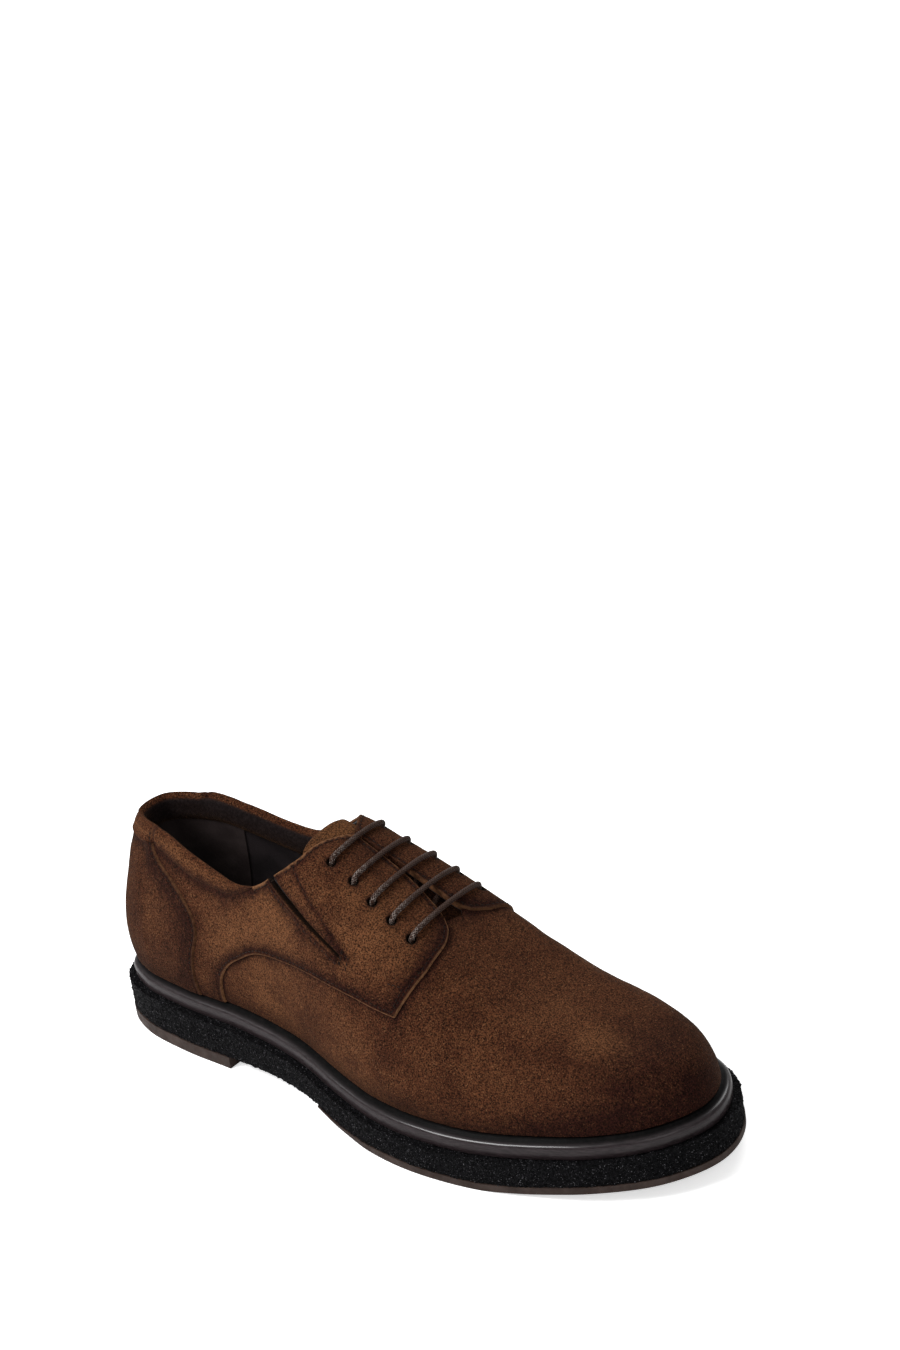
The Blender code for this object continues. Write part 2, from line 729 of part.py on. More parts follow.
def constant(lift):
    """The same lift at every pattern place."""
    return lambda places: np.full(len(places), lift)


def overrun(line, side):
    """A pattern line carried on past the feather edge."""
    return np.vstack([line, line[-1:] + (0, side * 2 * SEAM_STEP)])


def eyelet_places(last):
    """Pattern places of the eyelets, a row for each pair from the top: outer, inner."""
    half = BALL_WIDTH / 2
    return [[last.above(row[0] * SOLE_LENGTH, across * half) for across in row[1:]] for row in EYELETS]


def build_upper(last):
    """Vamp, quarters, collar and counter as one wall with steps, cut by throat, slits and eyelets."""
    edge = last.to_pattern(np.arange(DENSE) / DENSE, np.zeros(DENSE))
    edge = even(edge[::4], SEAM_STEP * 1.2, closed=True)
    top = last.round_heel(TOPLINE)
    facings = [last.by_width(FACING, side) for side in (-1, 1)]
    nose = last.above(FACING[-1][0] * SOLE_LENGTH + NOSE_LENGTH, last.spine(FACING[-1][0] * SOLE_LENGTH))
    opening = np.vstack([top[::-1], facings[0], nose[None], facings[1][::-1]])
    away = 2 * SOLE_LENGTH
    seams, quarters, bands, slots, counters = [], [], [], [], []
    for side in (-1, 1):
        front = last.by_width(FACING[-1:] + QUARTER_FRONT, side)
        tip = last.by_height(QUARTER_CORNER, side)[:-1]
        seam = overrun(np.vstack([front, tip, last.by_height(QUARTER_LOW_SEAM, side)]), side)
        rear = np.array([(seam[-1, 0], side * away), (-away, side * away), (-away, 0), (seam[0, 0], 0)])
        quarters.append(np.vstack([seam, rear]))
        collar = last.by_height(COLLAR_SEAM, side)
        bands.append(np.vstack([collar, [(collar[-1, 0], 0), (collar[0, 0], 0)]]))
        counter = overrun(last.by_height(COUNTER_SEAM, side), side)
        counters.append(np.vstack([counter, [(counter[-1, 0], side * away), (-away, side * away)]]))
        slit = last.by_height(SLIT, side)
        slots.append(np.vstack([beside(slit, SLIT_WIDTH / 2), beside(slit, -SLIT_WIDTH / 2)[::-1]]))
        seams += [seam, collar, counter]
    counter = np.vstack([counters[0], counters[1][::-1]])
    holes = [ring_of(place, EYELET_DIAMETER) for pair in eyelet_places(last) for place in pair]

    def level_of(places):
        step = np.zeros(len(places))
        for polygons, rise in ((quarters, QUARTER_STEP), (bands, COLLAR_STEP), ([counter], COUNTER_STEP)):
            for polygon in polygons:
                step[inside(polygon, places)] = rise
        for polygon in [opening] + slots + holes:
            step[inside(polygon, places)] = np.nan
        step[~inside(edge, places)] = np.nan
        return step

    lines = [(line, True) for line in [edge, opening] + slots + holes]
    lines += [(seam, False) for seam in seams]
    sheet("upper", last, lines, level_of, constant(0.0), constant(-WALL), SUEDE)


def build_gores(last):
    """An elastic behind each slit, inside the wall."""
    top = -WALL - CLEARANCE
    for side, name in ((-1, "gore_outer"), (1, "gore_inner")):
        slit = last.by_height(SLIT, side)[1:]
        slit = np.vstack([slit, 2 * slit[-1:] - slit[-2:-1]])
        loop = np.vstack([beside(slit, GORE_WIDTH / 2), beside(slit, -GORE_WIDTH / 2)[::-1]])
        level_of = lambda places, loop=loop: np.where(inside(loop, places), 0.0, np.nan)
        faces = constant(top), constant(top - GORE_THICKNESS)
        sheet(name, last, [(loop, True)], level_of, *faces, ELASTIC)


def build_tongue(last):
    """Tongue, under the facings and the lace, stitched under the vamp at its front end."""
    half = BALL_WIDTH / 2
    rows = [(row[0] * SOLE_LENGTH, row[1] * half) for row in TONGUE]
    loop = [(x, -y) for x, y in rows] + [(x, y) for x, y in rows[::-1]]
    loop = even(loop, SEAM_STEP, closed=True)
    drop = LACE_DIAMETER + 2 * CLEARANCE

    def over(places):
        return -WALL - 2 * CLEARANCE - drop * smooth(TONGUE, places[:, 0] / SOLE_LENGTH, 2)

    level_of = lambda places: np.where(inside(loop, places), 0.0, np.nan)
    under = lambda places: over(places) - TONGUE_THICKNESS
    sheet("tongue", last, [(loop, True)], level_of, over, under, TONGUE_SUEDE)


def build_lace(last):
    """One round lace: straight bars over the facings, slanting runs under, one end up the inner side."""
    radius = LACE_DIAMETER / 2
    above = QUARTER_STEP + CLEARANCE + radius
    below = -WALL - 2 * CLEARANCE - radius
    pairs = eyelet_places(last)
    route = []
    for k, (outer, inner) in enumerate(pairs):
        if k:
            before = pairs[k - 1][1]
            route += [(before + (outer - before) * share, below) for share in UNDER_SHARES]
        route += [(outer, below), (outer, (above + below) / 2)]
        route += [(outer + (inner - outer) * share, above) for share in OVER_SHARES]
        route += [(inner, (above + below) / 2), (inner, below)]
    beyond = np.array([0.0, LACE_DIAMETER + 3 * CLEARANCE])
    route += [(pair[1] + beyond, below) for pair in pairs[::-1]]
    places, lifts = zip(*route)
    path = even(last.off(np.array(places), np.array(lifts)), LACE_STEP)
    data = bpy.data.curves.new("lace", "CURVE")
    data.dimensions = "3D"
    data.bevel_depth = radius
    data.bevel_resolution = 1
    data.use_fill_caps = True
    spline = data.splines.new("POLY")
    spline.points.add(len(path) - 1)
    for point, place in zip(spline.points, path - (HEEL_CENTRE, 0, 0)):
        point.co = (*place, 1)
    lace = bpy.data.objects.new("lace", data)
    parts.objects.link(lace)
    paint(lace, WAXED_CORD)


parts = bpy.data.collections.new("lace_up_shoe")
bpy.context.scene.collection.children.link(parts)
build_sole()
shoe_last = Last()
build_upper(shoe_last)
build_gores(shoe_last)
build_tongue(shoe_last)
build_lace(shoe_last)
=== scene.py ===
"""Looks of the right lace-up shoe: brown suede panels on a glued welt, crumb crepe and a thin outsole."""

import json

import bpy
import numpy as np
from mathutils import Matrix, Vector, noise
from mathutils.geometry import delaunay_2d_cdt
from mathutils.kdtree import KDTree

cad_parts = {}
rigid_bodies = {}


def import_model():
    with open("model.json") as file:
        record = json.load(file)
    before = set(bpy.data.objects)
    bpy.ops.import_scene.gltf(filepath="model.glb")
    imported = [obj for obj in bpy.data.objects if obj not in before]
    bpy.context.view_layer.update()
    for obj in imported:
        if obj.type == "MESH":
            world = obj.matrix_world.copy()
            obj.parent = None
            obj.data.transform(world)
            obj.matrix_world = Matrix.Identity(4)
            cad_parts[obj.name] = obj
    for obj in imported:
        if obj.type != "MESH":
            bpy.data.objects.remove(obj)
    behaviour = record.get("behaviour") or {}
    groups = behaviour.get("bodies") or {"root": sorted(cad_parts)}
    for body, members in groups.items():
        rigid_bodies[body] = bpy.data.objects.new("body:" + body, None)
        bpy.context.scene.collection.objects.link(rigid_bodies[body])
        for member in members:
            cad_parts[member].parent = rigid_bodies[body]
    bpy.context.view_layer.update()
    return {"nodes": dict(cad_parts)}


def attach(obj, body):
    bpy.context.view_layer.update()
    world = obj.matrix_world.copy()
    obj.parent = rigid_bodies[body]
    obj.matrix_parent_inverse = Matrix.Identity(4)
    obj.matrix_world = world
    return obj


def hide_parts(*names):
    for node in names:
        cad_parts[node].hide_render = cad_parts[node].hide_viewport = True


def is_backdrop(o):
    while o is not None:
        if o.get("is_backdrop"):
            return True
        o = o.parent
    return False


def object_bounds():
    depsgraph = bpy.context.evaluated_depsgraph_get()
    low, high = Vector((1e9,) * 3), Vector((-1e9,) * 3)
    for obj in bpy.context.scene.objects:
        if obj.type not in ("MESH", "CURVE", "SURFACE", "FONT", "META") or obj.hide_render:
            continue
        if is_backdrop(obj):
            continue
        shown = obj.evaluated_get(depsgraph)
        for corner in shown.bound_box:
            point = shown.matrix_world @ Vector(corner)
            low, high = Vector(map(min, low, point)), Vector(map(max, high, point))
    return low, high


for thing in list(bpy.data.objects):
    bpy.data.objects.remove(thing, do_unlink=True)
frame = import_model()

# Studio
# A white floor and soft lamps, the strongest high over the heel on the outer side, and a long lens
# that looks down on the outer side of the toe with the camera rolled a little.
HEEL_CENTRE = 0.038
FRAME_WIDTH, FRAME_HEIGHT = 900, 1350
FOCAL_PIXELS = 3576.15
CAMERA_TURN, CAMERA_RISE, CAMERA_ROLL = np.radians((45.27, 31.16, 10.3))
CAMERA_DISTANCE = 1.4497
AIM = np.array([0.150 - HEEL_CENTRE, 0.0, 0.050])
AIM_PIXEL = (401.82, 969.31)
SENSOR = 36.0
NEAR_CLIP = 0.05
LAMP_AIM = Vector((0.1, 0, 0.04))
ROOM_LIGHT = 0.30

# Lamps: name, place in metres, width in metres, watts
LAMPS = (
    ("key", (-0.55, -0.95, 1.25), 0.80, 27),
    ("front_fill", (1.20, -0.70, 0.90), 1.00, 4),
    ("rim", (-0.20, 1.10, 1.00), 0.80, 8),
)

level = np.array([np.sin(CAMERA_TURN), -np.cos(CAMERA_TURN), 0]) * np.cos(CAMERA_RISE)
back = level + (0, 0, np.sin(CAMERA_RISE))
right = np.cross(-back, (0, 0, 1))
right /= np.linalg.norm(right)
seen_x = (AIM_PIXEL[0] - FRAME_WIDTH / 2) / FOCAL_PIXELS
seen_y = (FRAME_HEIGHT / 2 - AIM_PIXEL[1]) / FOCAL_PIXELS
seen = Vector((seen_x, seen_y, -1))
swing = np.array(Vector((0, 0, -1)).rotation_difference(seen.normalized()).to_matrix())
roll = np.array(Matrix.Rotation(CAMERA_ROLL, 3, "Z"))
turned = swing @ roll @ np.stack([right, np.cross(back, right), back])
lens = bpy.data.cameras.new("long_lens")
lens.lens = FOCAL_PIXELS / FRAME_HEIGHT * SENSOR
lens.sensor_width = SENSOR
lens.clip_start = NEAR_CLIP
camera = bpy.data.objects.new("camera", lens)
camera.matrix_world = Matrix.Translation(AIM + back * CAMERA_DISTANCE) @ Matrix(turned.T).to_4x4()
bpy.context.scene.collection.objects.link(camera)
bpy.context.scene.camera = camera

for name, place, size, watts in LAMPS:
    lamp = bpy.data.lights.new(name, "AREA")
    lamp.shape = "DISK"
    lamp.size = size
    lamp.energy = watts
    light = bpy.data.objects.new(name, lamp)
    light.location = place
    light.rotation_euler = (LAMP_AIM - Vector(place)).to_track_quat("-Z", "Y").to_euler()
    bpy.context.scene.collection.objects.link(light)

sky = bpy.data.worlds.new("white_room")
sky.use_nodes = True
sky.node_tree.nodes["Background"].inputs["Color"].default_value = (1, 1, 1, 1)
bpy.context.scene.world = sky
bpy.context.scene.view_settings.view_transform = "Standard"


def add(tree, kind, sockets=(), **settings):
    """A shader node with its settings, and each named socket linked or set."""
    made = tree.nodes.new("ShaderNode" + kind)
    for key, value in settings.items():
        setattr(made, key, value)
    for key, value in dict(sockets).items():
        if isinstance(value, bpy.types.NodeSocket):
            tree.links.new(value, made.inputs[key])
        else:
            made.inputs[key].default_value = value
    return made


def maths(tree, operation, *values):
    return add(tree, "Math", dict(enumerate(values)), operation=operation).outputs[0]


def spread(tree, value, low, high, to_low=0.0, to_high=1.0):
    """value between low and high, spread smoothly from to_low to to_high."""
    sockets = {0: value, 1: low, 2: high, 3: to_low, 4: to_high}
    return add(tree, "MapRange", sockets, interpolation_type="SMOOTHSTEP").outputs[0]


def mixed(tree, share, first, second, way="MIX"):
    """Two colours mixed by share."""
    node = add(tree, "Mix", data_type="RGBA", blend_type=way)
    for key, value in ((0, share), (6, first), (7, second)):
        if isinstance(value, bpy.types.NodeSocket):
            tree.links.new(value, node.inputs[key])
        else:
            node.inputs[key].default_value = value if key == 0 else (*value[:3], 1)
    return node.outputs[2]


def grain(tree, scale, detail=2.0, rough=0.5, vector=None):
    """Noise over the shoe's own metres."""
    place = vector or add(tree, "TexCoord").outputs["Object"]
    sockets = {"Vector": place, "Scale": scale, "Detail": detail, "Roughness": rough}
    return add(tree, "TexNoise", sockets).outputs["Fac"]


def material(name, **constants):
    """A material with constants set on its own shader's sockets."""
    made = bpy.data.materials.new(name)
    made.use_nodes = True
    tree = made.node_tree
    shader = tree.nodes["Principled BSDF"]
    for key, value in constants.items():
        shader.inputs[key.replace("_", " ")].default_value = value
    return made, tree, shader


direct = add(sky.node_tree, "LightPath").outputs["Is Camera Ray"]
glow = maths(sky.node_tree, "MULTIPLY_ADD", direct, 1 - ROOM_LIGHT, ROOM_LIGHT)
sky.node_tree.links.new(glow, sky.node_tree.nodes["Background"].inputs["Strength"])

FLOOR_HALF = 6.0
FLOOR_DROP = 0.0002
FLOOR_GLOW = 0.60
GLOW_FROM, GLOW_FULL = 0.35, 0.80
floor_mesh = bpy.data.meshes.new("floor")
corners = [(x * FLOOR_HALF, y * FLOOR_HALF, -FLOOR_DROP) for x, y in ((-1, -1), (1, -1), (1, 1), (-1, 1))]
floor_mesh.from_pydata(corners, [], [(0, 1, 2, 3)])
floor = bpy.data.objects.new("floor", floor_mesh)
bpy.context.scene.collection.objects.link(floor)
paper, tree, shader = material("white_paper", Roughness=0.9, Specular_IOR_Level=0.1)
dust = spread(tree, grain(tree, 3.0), 0.3, 0.7, 0.93, 0.96)
tree.links.new(mixed(tree, 1.0, (1, 1, 1), dust, "MULTIPLY"), shader.inputs["Base Color"])
shader.inputs["Emission Color"].default_value = (1, 1, 1, 1)
direct = add(tree, "LightPath").outputs["Is Camera Ray"]
middle = add(tree, "TexCoord").outputs["Object"]
away = add(tree, "VectorMath", {0: middle}, operation="LENGTH").outputs["Value"]
far_glow = spread(tree, away, GLOW_FROM, GLOW_FULL, FLOOR_GLOW, 1.0)
tree.links.new(maths(tree, "MULTIPLY", direct, far_glow), shader.inputs["Emission Strength"])
floor_mesh.materials.append(paper)
floor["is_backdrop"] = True

# Heel lift and outsole
# Two thin sheets of brown rubber glued under the crepe: a lift under the heel and an outsole that starts
# in the waist as a feathered edge and runs to the toe.
SOLE_LENGTH = 0.304
BALL_WIDTH = 0.108
HEEL_STACK = 0.020
LIFT_THICKNESS = 0.0053
LIFT_LENGTH = 0.075
OUTSOLE_THICKNESS = 0.0030
OUTSOLE_EDGE = 0.0006
OUTSOLE_START = 0.134
OUTSOLE_FULL = 0.177
RUBBER_INSET = 0.0003
RUBBER_STEP = 0.0014
RUBBER_FILL = 0.005
SHARP_DEGREES = 50
DENSE = 720
ROW_SHARE = 0.87

# Outline of the sole from the heel's back, outer side first.
# along: share of SOLE_LENGTH. across: share of half the BALL_WIDTH, below 0 on the outer side
OUTLINE = (
    (0.000, 0.000),
    (0.015, -0.348),
    (0.067, -0.533),
    (0.153, -0.622),
    (0.264, -0.656),
    (0.375, -0.737),
    (0.490, -0.920),
    (0.604, -1.037),
    (0.702, -1.022),
    (0.801, -0.907),
    (0.890, -0.730),
    (0.961, -0.448),
    (1.000, -0.056),
    (0.995, 0.280),
    (0.954, 0.613),
    (0.863, 0.850),
    (0.757, 0.956),
    (0.658, 0.928),
    (0.543, 0.770),
    (0.428, 0.631),
    (0.313, 0.615),
    (0.197, 0.630),
    (0.082, 0.555),
    (0.018, 0.339),
)

# Underside of the outsole, with its flat tread and the toe spring.
# along: share of SOLE_LENGTH. height: share of HEEL_STACK
TREAD = (
    (0.440, 0.285),
    (0.500, 0.100),
    (0.553, 0.000),
    (0.730, 0.000),
    (0.790, 0.065),
    (0.855, 0.180),
    (0.930, 0.285),
    (1.000, 0.350),
)


def smooth(table, x, column=1):
    """A curve without overshoot through two columns of a table."""
    xs = np.array([row[0] for row in table], float)
    ys = np.array([row[column] for row in table], float)
    gap = np.diff(xs)
    rise = np.diff(ys) / gap
    slope = np.zeros(len(xs))
    slope[0], slope[-1] = rise[0], rise[-1]
    for i in range(1, len(xs) - 1):
        if rise[i - 1] * rise[i] > 0:
            before, after = 2 * gap[i] + gap[i - 1], gap[i] + 2 * gap[i - 1]
            slope[i] = (before + after) / (before / rise[i - 1] + after / rise[i])
    x = np.clip(x, xs[0], xs[-1])
    i = np.clip(np.searchsorted(xs, x) - 1, 0, len(gap) - 1)
    t = (x - xs[i]) / gap[i]
    value = (1 + 2 * t) * (1 - t) ** 2 * ys[i] + t * (1 - t) ** 2 * gap[i] * slope[i]
    return value + t * t * (3 - 2 * t) * ys[i + 1] + t * t * (t - 1) * gap[i] * slope[i + 1]


def rounded(points, closed=False, pieces=24):
    """A round curve through points, with the same number of places in each gap."""
    points = np.asarray(points, float)
    if closed:
        points = np.vstack([points[-1:], points, points[:2]])
    else:
        points = np.vstack([2 * points[0] - points[1], points, 2 * points[-1] - points[-2]])
    curve = []
    for a, b, c, d in zip(points, points[1:], points[2:], points[3:]):
        knots = np.cumsum([0.0] + [np.linalg.norm(q - p) ** 0.5 + 1e-9 for p, q in ((a, b), (b, c), (c, d))])
        t = np.linspace(knots[1], knots[2], pieces, endpoint=False)[:, None]
        level = [a, b, c, d]
        for reach in (1, 2, 3):
            raised = []
            for k in range(4 - reach):
                start, stop = (knots[1], knots[2]) if reach == 3 else (knots[k], knots[k + reach])
                raised.append(((stop - t) * level[k] + (t - start) * level[k + 1]) / (stop - start))
            level = raised
        curve.append(level[0])
    return np.vstack(curve if closed else curve + [points[-2:-1]])


def even(points, step, closed=False):
    """A round curve through points, cut into even steps."""
    curve = rounded(points, closed)
    if closed:
        curve = np.vstack([curve, curve[:1]])
    run = np.r_[0, np.cumsum(np.linalg.norm(np.diff(curve, axis=0), axis=1))]
    count = max(2, round(run[-1] / step))
    stops = np.linspace(0, run[-1], count + 1)
    found = np.stack([np.interp(stops, run, side) for side in curve.T], 1)
    return found[:-1] if closed else found


def inward(loop):
    """Unit way into a loop that runs anticlockwise, at each of its points."""
    way = np.roll(loop, -1, 0) - np.roll(loop, 1, 0)
    way /= np.hypot(*way.T)[:, None]
    return np.stack([-way[:, 1], way[:, 0]], 1)


def outline(inset=0.0):
    """The sole's outline as a dense loop that starts at the heel's back and takes the outer side first."""
    loop = even(np.array(OUTLINE) * (SOLE_LENGTH, BALL_WIDTH / 2), 3 * SOLE_LENGTH / DENSE, closed=True)
    loop = loop + inset * inward(loop)
    return np.roll(loop, -int(np.argmin(loop[:, 0])), 0)


def rim(inset, step):
    """The outline at an inset, in even steps, with every inset's points side by side."""
    loop = even(outline()[::4], step, closed=True)
    return loop + inset * inward(loop)


def ease(value, low, high):
    """0 up to low, 1 from high on, and a soft curve between."""
    share = np.clip((value - low) / (high - low), 0, 1)
    return share * share * (3 - 2 * share)


def tread(x):
    return HEEL_STACK * smooth(TREAD, x / SOLE_LENGTH)


def outsole_top(x):
    thick = (OUTSOLE_THICKNESS - OUTSOLE_EDGE) * ease(x, OUTSOLE_START, OUTSOLE_FULL)
    return tread(x) + OUTSOLE_EDGE + thick


def shape(name, points, faces, finish, masks=()):
    """A named piece from points and faces, facing out, with its masks as attributes."""
    points = np.asarray(points, float) - (HEEL_CENTRE, 0, 0)
    mesh = bpy.data.meshes.new(name)
    mesh.from_pydata(points.tolist(), [], [tuple(int(k) for k in face) for face in faces])
    mesh.calc_loop_triangles()
    corners = np.array([t.vertices[:] for t in mesh.loop_triangles])
    if np.linalg.det(points[corners]).sum() < 0:
        mesh.flip_normals()
    mesh.shade_smooth()
    mesh.set_sharp_from_angle(angle=np.radians(SHARP_DEGREES))
    for label, values in dict(masks).items():
        made = mesh.attributes.new(label, "FLOAT", "POINT")
        made.data.foreach_set("value", np.asarray(values, np.float32))
    mesh.materials.append(finish)
    piece = bpy.data.objects.new(name, mesh)
    bpy.context.scene.collection.objects.link(piece)
    return piece


def of_shoe(piece, node):
    """The piece rides on the shoe and stands for its solid, which is hidden."""
    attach(piece, "root")
    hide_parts(node)
    return piece


def tree_of(places):
    """A search tree of flat places."""
    tree = KDTree(len(places))
    for k, (x, y) in enumerate(places):
        tree.insert((x, y, 0), k)
    tree.balance()
    return tree


def net(lines, spots, step, apart, mode, near):
    """A flat net of triangles over the first line's box, through lines and spots, with even points between.

    lines are (points, closed). Gives points, triangles and, for each point, the places that it was made from.
    """
    points, edges = [], []
    for line, closed in lines:
        start, count = len(points), len(line)
        points += [tuple(p) for p in line]
        edges += [(start + k, start + (k + 1) % count) for k in range(count if closed else count - 1)]
    points += spots
    fixed = tree_of(points)
    low, high = lines[0][0].min(0), lines[0][0].max(0)
    for i, x in enumerate(np.arange(low[0], high[0], step * ROW_SHARE)):
        for y in np.arange(low[1] + (i % 2) * step / 2, high[1], step):
            if fixed.find((x, y, 0))[2] > apart * step:
                points.append((x, y))
    found = delaunay_2d_cdt([Vector(p) for p in points], edges, [], mode, near)
    return np.array([tuple(p) for p in found[0]]), np.array(found[2]), found[3]


def bands(rows, count, first=0, closed=False):
    """Faces between neighbouring rings of points, and from the last ring to the first if closed."""
    faces = []
    for j in range(rows if closed else rows - 1):
        low, high = first + j * count, first + (j + 1) % rows * count
        faces += [(low + i, low + (i + 1) % count, high + (i + 1) % count, high + i) for i in range(count)]
    return faces


def slab(loop, foot, top, rows, step):
    """Points and faces of a slab with a dense side wall, from foot(x) to top(x), and filled ends."""
    count = len(loop)
    low, high = foot(loop[:, 0]), top(loop[:, 0])
    wall = [np.column_stack([loop, low + (high - low) * share]) for share in np.linspace(0, 1, rows + 1)]
    points = [tuple(p) for p in np.vstack(wall)]
    faces = bands(rows + 1, count)
    flat, triangles, origins = net([(loop, True)], [], step, 0.5, 1, 1e-6)
    for height, first, order in ((foot, 0, (0, 2, 1)), (top, rows * count, (0, 1, 2))):
        index = []
        for k, place in enumerate(flat):
            own = [o for o in origins[k] if o < count]
            index.append(first + own[0] if own else len(points))
            if not own:
                points.append((*place, float(height(place[0]))))
        faces += [tuple(index[t[o]] for o in order) for t in triangles]
    return np.array(points), faces


def cut_off(loop, at, count):
    """Part of a loop, closed by a straight row of points across it at x = at."""
    turn = np.argmax(np.abs(np.diff(loop[:, 1], append=loop[0, 1])) > 3 * RUBBER_STEP)
    loop = np.roll(loop, -turn - 1, 0)
    loop[0, 0] = loop[-1, 0] = at
    return np.vstack([loop, loop[-1] + (loop[0] - loop[-1]) * np.linspace(0, 1, count)[1:-1, None]])


def relief(tree, shader, height, depth, strength=1.0):
    """height raised as a bump, in metres."""
    bump = add(tree, "Bump", {"Height": height, "Distance": depth, "Strength": strength})
    tree.links.new(bump.outputs["Normal"], shader.inputs["Normal"])


def dress(tree, shader, colour, rough, height, depth, strength=1.0):
    """Links colour and roughness to a material's shader, and raises height as a bump of depth metres."""
    tree.links.new(colour, shader.inputs["Base Color"])
    tree.links.new(rough, shader.inputs["Roughness"])
    relief(tree, shader, height, depth, strength)


# Rubber: matte brown, with a faint mould skin and dull rub marks
rubber, tree, shader = material("brown_rubber", Specular_IOR_Level=0.2)
blotch = spread(tree, grain(tree, 120, 4, 0.6), 0.35, 0.7)
tone = mixed(tree, blotch, (0.030, 0.018, 0.014), (0.055, 0.036, 0.030))
rough = spread(tree, grain(tree, 300, 3), 0.3, 0.7, 0.50, 0.72)
dress(tree, shader, tone, rough, grain(tree, 1500, 3, 0.6), 0.00012, 0.6)

edge = rim(RUBBER_INSET, RUBBER_STEP)
lift_loop = cut_off(edge[edge[:, 0] < LIFT_LENGTH], LIFT_LENGTH, 40)
points, faces = slab(lift_loop, lambda x: 0 * x, lambda x: 0 * x + LIFT_THICKNESS, 5, RUBBER_FILL)
of_shoe(shape("heel_lift_block", points, faces, rubber), "heel_lift")
front = cut_off(edge[edge[:, 0] > OUTSOLE_START], OUTSOLE_START, 50)
points, faces = slab(front, tread, outsole_top, 4, RUBBER_FILL)
of_shoe(shape("outsole_sheet", points, faces, rubber), "outsole")

# Crepe midsole
# A black block of pressed rubber crumb, cut to the outline and left raw, so that its side and its ledge
# round the welt are pebbly. Sparse pale specks in its colour are painted glints.
CLEARANCE = 0.0003
WAIST_ALONG = 0.350
WAIST_HEIGHT = 0.325
CRUMB = 0.0012
CRUMB_FLAT = 0.7
CRUMB_RELIEF = 0.00060
CREPE_INSET = 0.0004
CREPE_STEP = 0.00062
CREPE_FILL = 0.0014
CREPE_ROWS = 20

# Top of the crepe. along: share of SOLE_LENGTH. height: share of HEEL_STACK
CREPE_TOP = (
    (0.000, 1.000),
    (0.250, 0.995),
    (0.430, 0.865),
    (0.560, 0.665),
    (0.710, 0.685),
    (0.855, 0.855),
    (1.000, 1.060),
)


def crepe_top(x):
    return HEEL_STACK * smooth(CREPE_TOP, x / SOLE_LENGTH)


def crepe_foot(x):
    """Underside of the crepe: flat on the lift, arched in the waist, then over the outsole."""
    joint = outsole_top(np.array(OUTSOLE_START)) + CLEARANCE
    waist = (
        (LIFT_LENGTH, LIFT_THICKNESS + CLEARANCE / 3),
        (WAIST_ALONG * SOLE_LENGTH, WAIST_HEIGHT * HEEL_STACK),
        (OUTSOLE_START, float(joint)),
    )
    return np.where(x < OUTSOLE_START, smooth(waist, x), outsole_top(x) + CLEARANCE / 3)


points, faces = slab(rim(CREPE_INSET, CREPE_STEP), crepe_foot, crepe_top, CREPE_ROWS, CREPE_FILL)
crumbs = np.empty(len(points))
for k, place in enumerate(points):
    near, far = noise.voronoi(Vector(place / CRUMB))[0][:2]
    crumbs[k] = min(far - near, CRUMB_FLAT) / CRUMB_FLAT + 0.35 * noise.noise(Vector(place / CRUMB * 0.4))

# Way that each point moves: the side wall outwards, its two ends up and down, the ledge up and the hidden
# faces hardly at all
loop = rim(0.0, CREPE_STEP)
row = np.repeat(np.arange(CREPE_ROWS + 1), len(loop))
wall_count = len(row)
shift = np.zeros_like(points)
shift[:wall_count, :2] = np.tile(-inward(loop), (CREPE_ROWS + 1, 1))
shift[:wall_count, 2] = np.where(row == 0, -0.6, np.where(row == CREPE_ROWS, 0.6, 0))
ledge = points[wall_count:, 2] > crepe_top(points[wall_count:, 0]) - 1e-6
over_floor = (points[wall_count:, 0] > LIFT_LENGTH) & (points[wall_count:, 0] < OUTSOLE_START)
shift[wall_count:, 2] = np.where(ledge, 1.0, -0.25) * np.where(ledge | over_floor, 1.0, 0.2)
points = points + shift * ((crumbs - 0.75) * CRUMB_RELIEF)[:, None]

crepe, tree, shader = material("crumb_crepe", Specular_IOR_Level=0.05)
place = add(tree, "TexCoord").outputs["Object"]
cells = add(tree, "TexVoronoi", {"Vector": place, "Scale": 1 / 0.0007})
tint = spread(tree, grain(tree, 900, 2), 0.35, 0.75)
tone = mixed(tree, tint, (0.0019, 0.0019, 0.0022), (0.0078, 0.0075, 0.0085))
# painted glints: sparse pale specks in the crumb's colour
spark = spread(tree, grain(tree, 1700, 1), 0.66, 0.73)
tone = mixed(tree, maths(tree, "MULTIPLY", spark, 0.8), tone, (0.13, 0.125, 0.135))
rough = spread(tree, cells.outputs["Color"], 0.1, 0.9, 0.55, 0.95)
dress(tree, shader, tone, rough, cells.outputs["Distance"], 0.0006, 1.0)
of_shoe(shape("crepe_block", points, faces, crepe, {"crumb": crumbs}), "crepe_midsole")

# Welt
# A flat leather strip glued round the lower edge of the upper. Its outer face is trimmed square and
# burnished grey brown, its top slopes up to the suede and is polished black.
WELT_HEIGHT = 0.0060
WELT_INSET = 0.0038
WELT_SLOPE_RISE = 0.0019
WELT_INNER = 0.0125
WELT_STEP = 0.0011
WELT_WOBBLE = 0.00012
WORN_ROWS = 6
FEATHER_INSET = 0.0076

